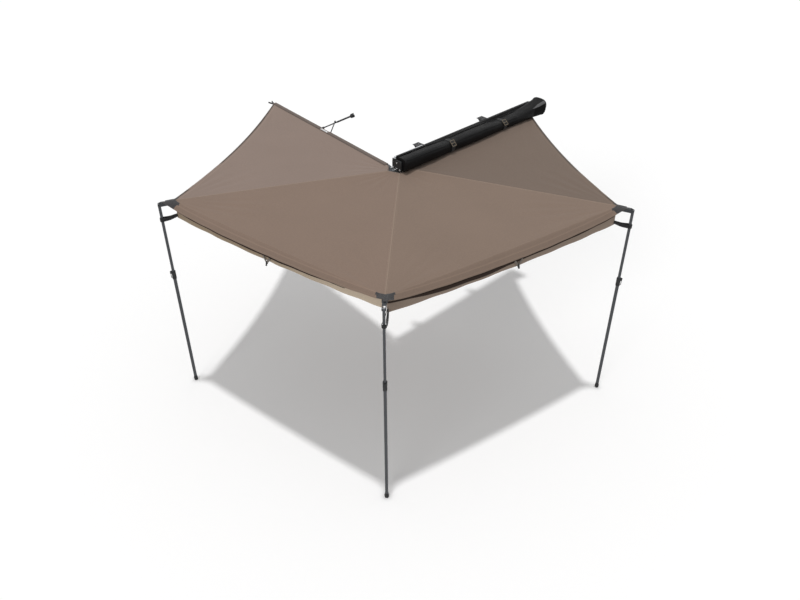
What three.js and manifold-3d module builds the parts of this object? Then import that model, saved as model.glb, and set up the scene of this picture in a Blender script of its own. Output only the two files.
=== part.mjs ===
// Vehicle side awning. Four channel arms fan out round the rear corner of a roof rack and carry a canopy
// of four gores. Each of the first three arms carries a telescopic pole that folds up into its channel,
// and a brace ties the fourth arm to the rack. The opened cover bag lies bundled along the rail.
// Millimetres. X runs forward along the rail, Y towards the vehicle, Z up.
import * as THREE from 'three';
import { mergeVertices } from 'three/addons/utils/BufferGeometryUtils.js';
import Module from 'manifold-3d';

const wasm = await Module();
wasm.setup();

// Clearances and steps
const runningGap = 0.3;
const cutOverrun = 1;
const roundSteps = 4;
const mergeTolerance = 1e-4;

// Arms: channel section, reach and fan
const armTopHeight = 1866;
const armLength = 1928;
const armWidth = 42;
const armDepth = 30;
const armWall = 1.8;
const armGrooveDepth = 0.7;
const armGrooveWidth = 7;
const armRootSetback = 52;
const armTipSetback = 82;
const panelAngles = [65.3, 71.5, 70.1, 67.1];
const firstPinX = 62;
const firstPinY = 12;

// Hinge chain at the hub
const hingeSpacing = 54;
const knuckleRadius = 20;
const knuckleHeight = 36;
const tongueHeight = 16;
const knuckleSwingGap = 0.8;
const knuckleWebWidth = 28;
const gussetHeight = 14;
const shoulderWidth = 35;
const shoulderTaper = 10;
const spigotLength = 28;
const spigotBore = 6;
const hingeBoltRadius = 6;
const hingeBoltHeadWidth = 18;
const hingeBoltHeadHeight = 4;
const hingeNutHeight = 6;

// Rail and its end caps
const railRearX = -14;
const railFrontX = 1800;
const railFaceY = 22;
const railDepth = 26;
const railHeight = 96;
const railOverArms = 12;
const railBottomHeight = armTopHeight + railOverArms;
const railWall = 2.4;
const railSlotMouth = 8.4;
const railSlotWidth = 16;
const railSlotDepth = 7;
const railSlotInset = 26;
const railGrooveRadius = 4.2;
const railGrooveMouth = 3.6;
const capThickness = 4;
const capPlugDepth = 12;
const capCorner = 5;

// Hinge bracket under the rail's rear end
const bracketPlate = 6;
const bracketWidth = 48;
const bracketTopSetback = 16;
const bracketBoltRadius = 4.3;

// Crossbar brackets behind the rail
const crossbarBracketRearX = 325;
const crossbarBracketFrontX = 1160;
const crossbarBracketWidth = 70;
const crossbarBracketPlate = 5;
const crossbarBracketDrop = 84;
const crossbarBracketReach = 70;
const crossbarOverRail = 97;
const crossbarFaceHeight = railBottomHeight + crossbarOverRail;
const crossbarBracketBend = 8;
const crossbarSlotLength = 34;
const crossbarSlotWidth = 9;
const crossbarSlotSpacing = 34;
const crossbarGussetWidth = 5;

// Tip forks that hold the poles
const forkLength = 138;
const forkTongueLength = 56;
const forkWidth = 29;
const forkCheek = 4.2;
const forkWeb = 3.2;
const forkEyeRadius = 12.5;
const forkWebSetback = 15;
const poleDrop = 21;
const polePinRadius = 4;
const polePinGap = 0.4;

// Telescopic poles
const poleWidth = 27;
const poleDepth = 23;
const poleWall = 1.6;
const poleCorner = 4;
const poleGrooveWidth = 5;
const poleGrooveDepth = 0.7;
const innerPoleGap = 0.5;
const innerPoleWall = 1.7;
const innerPoleEnd = 762;
const innerPolePlug = 26;
const innerPoleCorner = 3;
const outerPoleTop = 672;

// Lock collar and its lever
const collarTop = 630;
const collarHeight = 70;
const collarWidth = 35;
const collarDepth = 31;
const collarCorner = 7;
const collarWaistDepth = 1.6;
const collarWaistHeight = 18;
const collarLugWidth = 5;
const collarLugReach = 11;
const collarLugHeight = 18;
const leverPinRadius = 2.4;
const leverLength = 52;
const leverThickness = 4;
const leverBow = 5;
const leverTipWidth = 13;
const leverSideGap = 0.6;

// Rubber feet
const footRadius = 18;
const footHeight = 50;
const footPlugRoot = 6;
const footPlugLength = 24;
const footPlugGap = 0.5;

// Canopy gores, laid on the arms and hung from the rail
const clothThickness = 1.2;
const canopyInnerReach = 42;
const canopyTipSetback = 113;
const canopyReach = armLength - canopyTipSetback;
const canopyLastSetback = 62;
const canopyLastReach = armLength - canopyLastSetback;
const canopyRailStart = 112;
const canopyRailSetback = 4;
const canopyRailEnd = railFrontX - canopyRailSetback;
const canopyRailY = 33;
const canopySag = 26;
const canopyRows = 10;
const canopyColumns = 12;
const freeEdgeBow = 62;
const lastEdgeBow = 78;
const seamGap = 0.8;

// Valances, corner patches and pole straps
const valanceDrop = 145;
const valanceFold = 2.5;
const valanceFoldCount = 7;
const valanceColumns = 42;
const valanceRows = 3;
const valanceInset = 28;
const patchLength = 66;
const patchWidth = 138;
const patchWaist = 44;
const patchBand = 34;
const patchSweepShare = 0.72;
const patchTailLength = 46;
const patchThickness = 1.6;
const patchLift = 2;
const strapWidth = 38;
const strapThickness = 2;
const strapTop = 106;
const strapTipSetback = 106;
const strapInner = armLength - strapTipSetback;
const strapRingRadius = 14.8;
const strapNose = 6;

// Cover bag
const bagRearX = -6;
const bagRollFrontX = 1454;
const bagBackY = 18.8;
const bagFloorGap = 1;
const bagFloorHeight = railBottomHeight + bagFloorGap;
const bagRollWidth = 126;
const bagRollWidthGrowth = 10;
const bagRollHeight = 118;
const bagRollHeightLoss = 30;
const bagPinch = 12;
const bagPinchLength = 120;
const bagStrapGap = 0.9;
const bagFold = 3.2;
const bagFoldCount = 11;
const bagSections = 26;
const bagSides = 18;
const bagRoundness = 3;
const bagStrapRearX = 580;
const bagStrapFrontX = 1280;
const bagStrapWidth = 38;
const bagStrapThickness = 2;
const buckleLength = 58;
const buckleWidth = 50;
const buckleBar = 5;
const buckleThickness = 4;
const buckleAngle = 40;

// Flared front mouth of the bag
const cowlOverhang = 12;
const cowlFrontX = railFrontX + cowlOverhang;
const cowlMouthWidth = 178;
const cowlMouthHeight = 164;
const cowlMouthLift = 10;
const cowlWall = 4;
const cowlDepth = 230;
const cowlSections = 8;
const cowlFlareShare = 0.55;
const cowlSkew = 34;

// Brace from the fourth arm to the rack, and its strut
const braceReach = 1075;
const braceOffset = 24;
const braceDrop = 10;
const braceClampX = 325;
const braceClampY = 960;
const braceClampDrop = 1;
const braceClampHeight = crossbarFaceHeight - braceClampDrop;
const braceTubeRadius = 8;
const braceTubeWall = 1.5;
const braceRodRadius = 5.6;
const braceRodShare = 0.47;
const braceRodTail = 60;
const braceEyeRadius = 9;
const braceEyeThickness = 8;
const braceEarThickness = 4;
const bracePinRadius = 3;
const braceBracketPlate = 3;
const braceBracketLength = 60;
const braceClampWidth = 30;
const braceClampLength = 40;
const braceClampThickness = 26;
const braceClampSlot = 16;
const braceNeckLength = 12;
const strutFootReach = 930;
const strutRadius = 5;
const strutGap = 1;
const strutFootGap = 0.8;
const strutEyeRadius = 8;
const strutPinInset = 12;

const radians = THREE.MathUtils.degToRad;
const X = new THREE.Vector3(1, 0, 0);
const Y = new THREE.Vector3(0, 1, 0);
const Z = new THREE.Vector3(0, 0, 1);

// Solids: closed geometry to and from the library that joins and cuts
function solidFrom(geometry) {
  const bare = geometry.index ? geometry.toNonIndexed() : geometry.clone();
  bare.deleteAttribute('normal');
  bare.deleteAttribute('uv');
  const merged = mergeVertices(bare, mergeTolerance);
  const mesh = new wasm.Mesh({
    numProp: 3,
    vertProperties: new Float32Array(merged.attributes.position.array),
    triVerts: new Uint32Array(merged.index.array),
  });
  return new wasm.Manifold(mesh);
}

function geometryFrom(solid) {
  const mesh = solid.getMesh();
  const geometry = new THREE.BufferGeometry();
  geometry.setAttribute('position', new THREE.BufferAttribute(new Float32Array(mesh.vertProperties), 3));
  geometry.setIndex(new THREE.BufferAttribute(new Uint32Array(mesh.triVerts), 1));
  geometry.computeVertexNormals();
  return geometry;
}

const join = (first, ...rest) => rest.reduce((whole, piece) => whole.add(piece), first);
const cut = (first, ...rest) => rest.reduce((whole, piece) => whole.subtract(piece), first);

// Outlines drawn up Z, along X or across Y
function drawn(shape, from, to, basis, origin) {
  const geometry = new THREE.ExtrudeGeometry(shape, {
    depth: to - from,
    bevelEnabled: false,
    curveSegments: roundSteps,
  });
  geometry.applyMatrix4(new THREE.Matrix4().makeBasis(...basis));
  geometry.translate(origin.x, origin.y, origin.z);
  return solidFrom(geometry);
}

const drawnUp = (shape, from, to) => drawn(shape, from, to, [X, Y, Z], new THREE.Vector3(0, 0, from));
const drawnAlong = (shape, from, to) => drawn(shape, from, to, [Y, Z, X], new THREE.Vector3(from, 0, 0));
const drawnAcross = (shape, from, to) =>
  drawn(shape, from, to, [X, Z, Y.clone().negate()], new THREE.Vector3(0, to, 0));

function outline(points) {
  return new THREE.Shape(points.map(([u, v]) => new THREE.Vector2(u, v)));
}

function rectangle(left, right, bottom, top, corner = 0) {
  const shape = new THREE.Shape();
  if (corner === 0) {
    return outline([[left, bottom], [right, bottom], [right, top], [left, top]]);
  }
  shape.moveTo(left + corner, bottom);
  shape.lineTo(right - corner, bottom);
  shape.absarc(right - corner, bottom + corner, corner, -Math.PI / 2, 0, false);
  shape.lineTo(right, top - corner);
  shape.absarc(right - corner, top - corner, corner, 0, Math.PI / 2, false);
  shape.lineTo(left + corner, top);
  shape.absarc(left + corner, top - corner, corner, Math.PI / 2, Math.PI, false);
  shape.lineTo(left, bottom + corner);
  shape.absarc(left + corner, bottom + corner, corner, Math.PI, 1.5 * Math.PI, false);
  return shape;
}

function disc(radius, u = 0, v = 0, corners = 16) {
  const turn = (2 * Math.PI) / corners;
  return outline(Array.from({ length: corners }, (_, k) => [
    u + radius * Math.cos((k + 0.5) * turn),
    v + radius * Math.sin((k + 0.5) * turn),
  ]));
}

const hexagon = (width, u = 0, v = 0) => disc(width / 2 / Math.cos(Math.PI / 6), u, v, 6);

// A capsule round the line from one point to another
function capsule(u0, v0, u1, v1, radius) {
  const heading = Math.atan2(v1 - v0, u1 - u0);
  const shape = new THREE.Shape();
  shape.absarc(u1, v1, radius, heading - Math.PI / 2, heading + Math.PI / 2, false);
  shape.absarc(u0, v0, radius, heading + Math.PI / 2, heading + 1.5 * Math.PI, false);
  return shape;
}

// Closed surfaces made point by point are turned so that their faces point out
function closedSurface(points, faces) {
  const geometry = new THREE.BufferGeometry();
  let volume = 0;
  for (const [a, b, c] of faces) {
    volume += points[a].dot(new THREE.Vector3().crossVectors(points[b], points[c]));
  }
  const ordered = volume < 0 ? faces.map(([a, b, c]) => [a, c, b]) : faces;
  geometry.setAttribute('position', new THREE.Float32BufferAttribute(points.flatMap((p) => p.toArray()), 3));
  geometry.setIndex(ordered.flat());
  geometry.computeVertexNormals();
  return geometry;
}

// A cloth is a grid of points and the same grid moved by its thickness
function cloth(columns, rows, at, thickness) {
  const points = [];
  const faces = [];
  const wide = columns + 1;
  for (const shift of [new THREE.Vector3(), thickness]) {
    for (let row = 0; row <= rows; row += 1) {
      for (let column = 0; column <= columns; column += 1) {
        points.push(at(column / columns, row / rows).add(shift));
      }
    }
  }
  const far = wide * (rows + 1);
  for (let row = 0; row < rows; row += 1) {
    for (let column = 0; column < columns; column += 1) {
      const a = row * wide + column;
      const [b, c, d] = [a + 1, a + wide + 1, a + wide];
      faces.push([a, c, b], [a, d, c], [far + a, far + b, far + c], [far + a, far + c, far + d]);
    }
  }
  const border = [];
  for (let column = 0; column < columns; column += 1) border.push(column);
  for (let row = 0; row < rows; row += 1) border.push(row * wide + columns);
  for (let column = columns; column > 0; column -= 1) border.push(rows * wide + column);
  for (let row = rows; row > 0; row -= 1) border.push(row * wide);
  border.forEach((a, k) => {
    const b = border[(k + 1) % border.length];
    faces.push([a, b, far + b], [a, far + b, far + a]);
  });
  return closedSurface(points, faces);
}

// A loft joins rings of the same count of points and closes both ends
function loft(rings) {
  const points = rings.flat().map((p) => p.clone());
  const around = rings[0].length;
  const faces = [];
  for (let ring = 0; ring + 1 < rings.length; ring += 1) {
    for (let k = 0; k < around; k += 1) {
      const a = ring * around + k;
      const b = ring * around + ((k + 1) % around);
      faces.push([a, b, b + around], [a, b + around, a + around]);
    }
  }
  const middle = (ring) => ring.reduce((sum, p) => sum.add(p), new THREE.Vector3()).divideScalar(around);
  const last = (rings.length - 1) * around;
  points.push(middle(rings[0]), middle(rings[rings.length - 1]));
  for (let k = 0; k < around; k += 1) {
    const next = (k + 1) % around;
    faces.push([points.length - 2, next, k], [points.length - 1, last + k, last + next]);
  }
  return closedSurface(points, faces);
}

// Materials
const finish = (color, roughness, metalness) =>
  new THREE.MeshStandardMaterial({ color, roughness, metalness });
const canopyCloth = finish(0x8a786b, 0.9, 0);
const webbing = finish(0x3c3a38, 0.85, 0);
const blackWebbing = finish(0x1a1a1a, 0.8, 0);
const coverCloth = finish(0x1e1e1e, 0.55, 0);
const railAluminium = finish(0xc4c6c8, 0.35, 0.9);
const armAluminium = finish(0x9a9c9e, 0.4, 0.9);
const poleAluminium = finish(0x46484a, 0.4, 0.7);
const castMetal = finish(0x3e4042, 0.5, 0.6);
const blackSteel = finish(0x232425, 0.5, 0.5);
const boltSteel = finish(0xb4b6b8, 0.3, 1);
const blackPlastic = finish(0x202122, 0.6, 0);
const rubber = finish(0x2a2a2a, 0.85, 0);
const buckleMetal = finish(0x9b8c78, 0.35, 0.9);

function node(name, material, body) {
  const geometry = body instanceof THREE.BufferGeometry ? body : geometryFrom(body);
  const mesh = new THREE.Mesh(geometry, material);
  mesh.name = name;
  return mesh;
}

// The fan: each arm's pin sits beside the pin before it, square to the arm that carries it
const armAngles = [];
panelAngles.reduce((sum, angle) => {
  armAngles.push(radians(sum - angle));
  return sum - angle;
}, 0);
const armPins = [new THREE.Vector2(firstPinX, firstPinY)];
for (const angle of armAngles.slice(0, -1)) {
  const last = armPins[armPins.length - 1];
  armPins.push(new THREE.Vector2(
    last.x + hingeSpacing * Math.sin(angle),
    last.y - hingeSpacing * Math.cos(angle),
  ));
}
const armLetters = ['b', 'c', 'd', 'e'];

// Rail: a hollow extrusion with two bolt slots behind and a cloth groove at the top and bottom of its face
const railBackY = railFaceY + railDepth;
const railTopHeight = railBottomHeight + railHeight;

function railOutline() {
  const shape = rectangle(railFaceY, railBackY, railBottomHeight, railTopHeight);
  const inner = railFaceY + railWall;
  const slotFloor = railBackY - railWall - railSlotDepth - railWall;
  const hollowBottom = railBottomHeight + 2 * railGrooveRadius + 2 * railWall;
  const hollowTop = railTopHeight - 2 * railGrooveRadius - 2 * railWall;
  shape.holes.push(rectangle(inner, slotFloor, hollowBottom, hollowTop));
  return shape;
}

function buildRail() {
  const body = drawnAlong(railOutline(), railRearX, railFrontX);
  const from = railRearX - cutOverrun;
  const to = railFrontX + cutOverrun;
  const cuts = [];
  for (const middle of [railBottomHeight + railSlotInset, railTopHeight - railSlotInset]) {
    const mouth = rectangle(
      railBackY - railWall - cutOverrun, railBackY + cutOverrun,
      middle - railSlotMouth / 2, middle + railSlotMouth / 2,
    );
    const pocket = rectangle(
      railBackY - railWall - railSlotDepth, railBackY - railWall,
      middle - railSlotWidth / 2, middle + railSlotWidth / 2,
    );
    cuts.push(drawnAlong(mouth, from, to), drawnAlong(pocket, from, to));
  }
  const grooveY = railFaceY + railWall + railGrooveRadius;
  const grooves = [
    [railBottomHeight + railWall + railGrooveRadius, railBottomHeight - cutOverrun],
    [railTopHeight - railWall - railGrooveRadius, railTopHeight + cutOverrun],
  ];
  for (const [middle, outside] of grooves) {
    const mouth = rectangle(
      grooveY - railGrooveMouth / 2, grooveY + railGrooveMouth / 2,
      Math.min(middle, outside), Math.max(middle, outside),
    );
    cuts.push(drawnAlong(disc(railGrooveRadius, grooveY, middle, 12), from, to));
    cuts.push(drawnAlong(mouth, from, to));
  }
  return cut(body, ...cuts);
}

// End caps close the rail and plug into its hollow
function buildRailCap(endX, outward) {
  const face = rectangle(railFaceY, railBackY, railBottomHeight, railTopHeight, capCorner);
  const near = endX + outward * runningGap;
  const far = near + outward * capThickness;
  const plate = drawnAlong(face, Math.min(near, far), Math.max(near, far));
  const slotFloor = railBackY - railWall - railSlotDepth - railWall;
  const plug = rectangle(
    railFaceY + railWall + runningGap, slotFloor - runningGap,
    railBottomHeight + 2 * railGrooveRadius + 2 * railWall + runningGap,
    railTopHeight - 2 * railGrooveRadius - 2 * railWall - runningGap,
  );
  const tip = endX - outward * capPlugDepth;
  return join(plate, drawnAlong(plug, Math.min(tip, near), Math.max(tip, near)));
}

// Hinge bracket: one folded profile, two plates that hold the first pin and an upright bolted to the rail
function buildHingeBracket() {
  const backY = railBackY + runningGap;
  const plateTop = armTopHeight + runningGap + bracketPlate;
  const plateBottom = armTopHeight - knuckleHeight - runningGap - bracketPlate;
  const uprightTop = railTopHeight - bracketTopSetback;
  const noseY = firstPinY - bracketWidth / 2;
  const profile = outline([
    [noseY, plateTop - bracketPlate],
    [backY, plateTop - bracketPlate],
    [backY, plateBottom + bracketPlate],
    [noseY, plateBottom + bracketPlate],
    [noseY, plateBottom],
    [backY + bracketPlate, plateBottom],
    [backY + bracketPlate, uprightTop],
    [backY, uprightTop],
    [backY, plateTop],
    [noseY, plateTop],
  ]);
  const left = firstPinX - bracketWidth / 2;
  const right = firstPinX + bracketWidth / 2;
  const body = drawnAlong(profile, left, right);
  const plan = join(
    drawnUp(disc(bracketWidth / 2, firstPinX, firstPinY), plateBottom, uprightTop),
    drawnUp(rectangle(left, right, firstPinY, backY + bracketPlate), plateBottom, uprightTop),
  );
  const pinHole = drawnUp(
    disc(hingeBoltRadius + runningGap, firstPinX, firstPinY),
    plateBottom - cutOverrun, plateTop + cutOverrun,
  );
  const boltHeights = [railBottomHeight + railSlotInset, railTopHeight - railSlotInset];
  const boltHoles = boltHeights.map((height) =>
    drawnAcross(disc(bracketBoltRadius, firstPinX, height, 12), backY - cutOverrun,
      backY + bracketPlate + cutOverrun));
  return cut(body.intersect(plan), pinHole, ...boltHoles);
}

const gussetReachShare = 0.8;
const gussetFootShare = 0.33;

// Crossbar bracket: an angle plate with a rounded bend, two slots on its flat top face and two gussets
function buildCrossbarBracket(middleX) {
  const backY = railBackY + runningGap;
  const low = crossbarFaceHeight - crossbarBracketDrop;
  const high = crossbarFaceHeight;
  const profile = new THREE.Shape();
  profile.moveTo(backY, low);
  profile.lineTo(backY + crossbarBracketPlate, low);
  profile.lineTo(backY + crossbarBracketPlate, high - crossbarBracketPlate);
  profile.lineTo(backY + crossbarBracketReach, high - crossbarBracketPlate);
  profile.lineTo(backY + crossbarBracketReach, high);
  profile.lineTo(backY + crossbarBracketBend, high);
  profile.absarc(backY + crossbarBracketBend, high - crossbarBracketBend, crossbarBracketBend,
    Math.PI / 2, Math.PI, false);
  const left = middleX - crossbarBracketWidth / 2;
  const right = middleX + crossbarBracketWidth / 2;
  const plates = drawnAlong(profile, left, right);
  const gusset = outline([
    [backY + crossbarBracketPlate / 2, high - crossbarBracketPlate / 2],
    [backY + crossbarBracketPlate / 2, low + crossbarBracketDrop * gussetFootShare],
    [backY + crossbarBracketReach * gussetReachShare, high - crossbarBracketPlate / 2],
  ]);
  const gussets = [left, right - crossbarGussetWidth].map((at) =>
    drawnAlong(gusset, at, at + crossbarGussetWidth));
  const slotY = backY + crossbarBracketReach / 2 + crossbarBracketPlate;
  const slots = [-1, 1].map((side) => {
    const at = middleX + side * crossbarSlotSpacing / 2;
    const half = (crossbarSlotLength - crossbarSlotWidth) / 2;
    return drawnUp(capsule(at, slotY - half, at, slotY + half, crossbarSlotWidth / 2),
      high - crossbarBracketPlate - cutOverrun, high + cutOverrun);
  });
  const boltHoles = [railBottomHeight + railSlotInset, railTopHeight - railSlotInset].map((height) =>
    drawnAcross(disc(bracketBoltRadius, middleX, height, 12), backY - cutOverrun,
      backY + crossbarBracketPlate + cutOverrun));
  return cut(join(plates, ...gussets), ...slots, ...boltHoles);
}

// A hinge bolt: hexagon head, shank and nut. Heights run from the head's seat down
function buildHingeBolt(seat, foot) {
  const under = seat + runningGap;
  const end = foot - runningGap - hingeNutHeight;
  const head = drawnUp(hexagon(hingeBoltHeadWidth), under, under + hingeBoltHeadHeight);
  const shank = drawnUp(disc(hingeBoltRadius), end, under + hingeBoltHeadHeight / 2);
  const nut = drawnUp(hexagon(hingeBoltHeadWidth), end, foot - runningGap);
  return join(head, shank, nut);
}

// Knuckle: a barrel on the arm's own pin, ears for the next arm's barrel and a spigot in the channel.
// Between fork ears the barrel is a thin tongue; the first knuckle's barrel is full height
function knuckleOutline(carriesNext) {
  const root = knuckleWebWidth / 2;
  const wide = shoulderWidth / 2;
  const taper = knuckleRadius + knuckleSwingGap;
  const points = [
    [0, root],
    [0, -root],
    [taper, -root],
    [taper + shoulderTaper, -wide],
    [armRootSetback - runningGap, -wide],
    [armRootSetback - runningGap, wide],
    [taper + shoulderTaper, wide],
    [taper, root],
  ];
  const shapes = [disc(knuckleRadius), outline(points)];
  if (carriesNext) {
    shapes.push(disc(knuckleRadius, 0, -hingeSpacing));
    shapes.push(rectangle(-root, root, -hingeSpacing, 0));
    shapes.push(outline([
      [0, -root],
      [0, -root - gussetHeight],
      [root, -root - gussetHeight],
      [taper + root, -root],
    ]));
  }
  return join(...shapes.map((shape) => drawnUp(shape, -knuckleHeight, 0)));
}

function buildKnuckle(fullBarrel, carriesNext) {
  const tongueTop = -(knuckleHeight - tongueHeight) / 2;
  const tongueBottom = -knuckleHeight - tongueTop;
  const swing = knuckleRadius + knuckleSwingGap;
  let body = knuckleOutline(carriesNext);
  if (carriesNext) {
    const slot = drawnUp(disc(swing, 0, -hingeSpacing), tongueBottom - runningGap, tongueTop + runningGap);
    const nextHole = drawnUp(
      disc(hingeBoltRadius + runningGap, 0, -hingeSpacing),
      -knuckleHeight - cutOverrun, cutOverrun,
    );
    body = cut(body, slot, nextHole);
  }
  if (!fullBarrel) {
    body = cut(
      body,
      drawnUp(disc(swing), tongueTop, cutOverrun),
      drawnUp(disc(swing), -knuckleHeight - cutOverrun, tongueBottom),
    );
  }
  const spigotHalf = armWidth / 2 - armWall - runningGap;
  const spigot = rectangle(
    armRootSetback - knuckleSwingGap, armRootSetback + spigotLength, -spigotHalf, spigotHalf, spigotBore / 2,
  );
  body = join(body, drawnUp(spigot, -armDepth, -armWall - runningGap));
  const spigotHole = drawnAcross(
    disc(spigotBore / 2, armRootSetback + spigotLength / 2, -armDepth / 2, 12),
    -armWidth, armWidth,
  );
  const pinHole = drawnUp(disc(hingeBoltRadius + runningGap), -knuckleHeight - cutOverrun, cutOverrun);
  return cut(body, pinHole, spigotHole);
}

const armGrooveShares = [0.32, 0.68];

// Arm: a channel open below, with two shallow grooves along each side
function buildArm() {
  const half = armWidth / 2;
  const inner = half - armWall;
  const shape = outline([
    [-half, -armDepth],
    [-inner, -armDepth],
    [-inner, -armWall],
    [inner, -armWall],
    [inner, -armDepth],
    [half, -armDepth],
    [half, 0],
    [-half, 0],
  ]);
  const from = armRootSetback;
  const to = armLength - armTipSetback;
  const grooves = [];
  for (const side of [-1, 1]) {
    for (const share of armGrooveShares) {
      const middle = -armDepth * share;
      const groove = rectangle(
        Math.min(side * (half - armGrooveDepth), side * (half + cutOverrun)),
        Math.max(side * (half - armGrooveDepth), side * (half + cutOverrun)),
        middle - armGrooveWidth / 2, middle + armGrooveWidth / 2,
      );
      grooves.push(drawnAlong(groove, from - cutOverrun, to + cutOverrun));
    }
  }
  return cut(drawnAlong(shape, from, to), ...grooves);
}

// Tip fork: seats in the channel's end, narrows to two cheeks and holds the pole's pin.
// The pole folds up between the cheeks
function buildFork() {
  const start = armLength - forkLength;
  const neck = start + forkTongueLength;
  const seatHalf = armWidth / 2 - armWall - runningGap;
  const half = forkWidth / 2;
  const top = -armWall - runningGap;
  const bottom = -armDepth;
  const side = new THREE.Shape();
  side.moveTo(start, bottom);
  side.lineTo(neck, bottom);
  side.lineTo(armLength, -poleDrop - forkEyeRadius);
  side.absarc(armLength, -poleDrop, forkEyeRadius, -Math.PI / 2, Math.PI / 2, false);
  side.lineTo(armLength - forkWebSetback, top);
  side.lineTo(start, top);
  const plan = outline([
    [start, -seatHalf],
    [neck, -seatHalf],
    [neck + forkCheek * 2, -half],
    [armLength + forkEyeRadius, -half],
    [armLength + forkEyeRadius, half],
    [neck + forkCheek * 2, half],
    [neck, seatHalf],
    [start, seatHalf],
  ]);
  const body = drawnAcross(side, -armWidth, armWidth).intersect(
    drawnUp(plan, -poleDrop - 2 * forkEyeRadius, 0),
  );
  const slotHalf = half - forkCheek;
  const slotSide = outline([
    [start - cutOverrun, bottom - cutOverrun],
    [armLength + 2 * forkEyeRadius, -poleDrop - 2 * forkEyeRadius],
    [armLength + 2 * forkEyeRadius, cutOverrun],
    [armLength - forkWebSetback, cutOverrun],
    [armLength - forkWebSetback, top - forkWeb],
    [start - cutOverrun, top - forkWeb],
  ]);
  const slot = drawnAcross(slotSide, -slotHalf, slotHalf);
  const pin = drawnAcross(disc(polePinRadius, armLength, -poleDrop),
    -half - forkWeb / 2, half + forkWeb / 2);
  return join(cut(body, slot), pin);
}

// The fourth arm's yoke has two prongs that spread from a seated tongue, and no pole
function buildYoke() {
  const start = armLength - forkLength;
  const neck = start + forkTongueLength;
  const seatHalf = armWidth / 2 - armWall - runningGap;
  const top = -armWall - runningGap;
  const tongue = outline([
    [start, -seatHalf],
    [neck, -seatHalf],
    [neck + forkTongueLength / 2, -forkCheek],
    [neck + forkTongueLength / 2, forkCheek],
    [neck, seatHalf],
    [start, seatHalf],
  ]);
  const prongRoot = neck + forkTongueLength / 2 - forkCheek;
  const prongs = [-1, 1].map((side) => drawnUp(
    capsule(prongRoot, 0, armLength + forkEyeRadius, side * seatHalf, forkCheek),
    top - forkEyeRadius, top,
  ));
  return join(drawnUp(tongue, -armDepth, top), ...prongs);
}

// Pole sections are grooved tubes with rounded corners
function poleSection(width, depth, corner, groove) {
  const tube = rectangle(-width / 2, width / 2, -depth / 2, depth / 2, corner);
  return { tube, groove, width, depth };
}

function grooved(section, bottom, top) {
  const body = drawnUp(section.tube, bottom, top);
  const across = poleGrooveWidth / 2;
  const cuts = [];
  for (const side of [-1, 1]) {
    const edge = side * section.width / 2;
    const flank = side * section.depth / 2;
    const inward = side * section.groove;
    cuts.push(drawnUp(
      rectangle(Math.min(edge - inward, edge + side * cutOverrun),
        Math.max(edge - inward, edge + side * cutOverrun), -across, across),
      bottom - cutOverrun, top + cutOverrun,
    ));
    cuts.push(drawnUp(
      rectangle(-across, across, Math.min(flank - inward, flank + side * cutOverrun),
        Math.max(flank - inward, flank + side * cutOverrun)),
      bottom - cutOverrun, top + cutOverrun,
    ));
  }
  return cut(body, ...cuts);
}

const innerWidth = poleWidth - 2 * poleWall - 2 * innerPoleGap;
const innerDepth = poleDepth - 2 * poleWall - 2 * innerPoleGap;
const groundDrop = armTopHeight - poleDrop;

// Upper section: hangs on the fork's pin and slides inside the lower one
function buildPoleUpper() {
  const section = poleSection(innerWidth, innerDepth, innerPoleCorner, poleGrooveDepth);
  const tube = grooved(section, -innerPoleEnd, 0);
  const bore = rectangle(
    -innerWidth / 2 + innerPoleWall, innerWidth / 2 - innerPoleWall,
    -innerDepth / 2 + innerPoleWall, innerDepth / 2 - innerPoleWall,
  );
  const hollow = drawnUp(bore, -innerPoleEnd - cutOverrun, -innerPolePlug);
  const eye = drawnAcross(disc(innerWidth / 2, 0, 0), -innerDepth / 2, innerDepth / 2);
  const hole = drawnAcross(disc(polePinRadius + polePinGap, 0, 0, 16), -innerDepth, innerDepth);
  return cut(join(tube, eye), hollow, hole);
}

// Lower section: the outer tube, with the foot plugged into its end
function buildPoleLower() {
  const section = poleSection(poleWidth, poleDepth, poleCorner, poleGrooveDepth);
  const bottom = -groundDrop + footHeight + runningGap;
  const tube = grooved(section, bottom, -outerPoleTop);
  const bore = rectangle(
    -poleWidth / 2 + poleWall, poleWidth / 2 - poleWall,
    -poleDepth / 2 + poleWall, poleDepth / 2 - poleWall,
  );
  return cut(tube, drawnUp(bore, bottom - cutOverrun, -outerPoleTop + cutOverrun));
}

const leverPinX = collarWidth / 2 + collarLugReach - collarLugHeight / 2;
const leverPinZ = -collarTop - collarLugHeight / 2;
const leverEyeRadius = collarLugReach - collarLugHeight / 2 + leverPinRadius;

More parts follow.
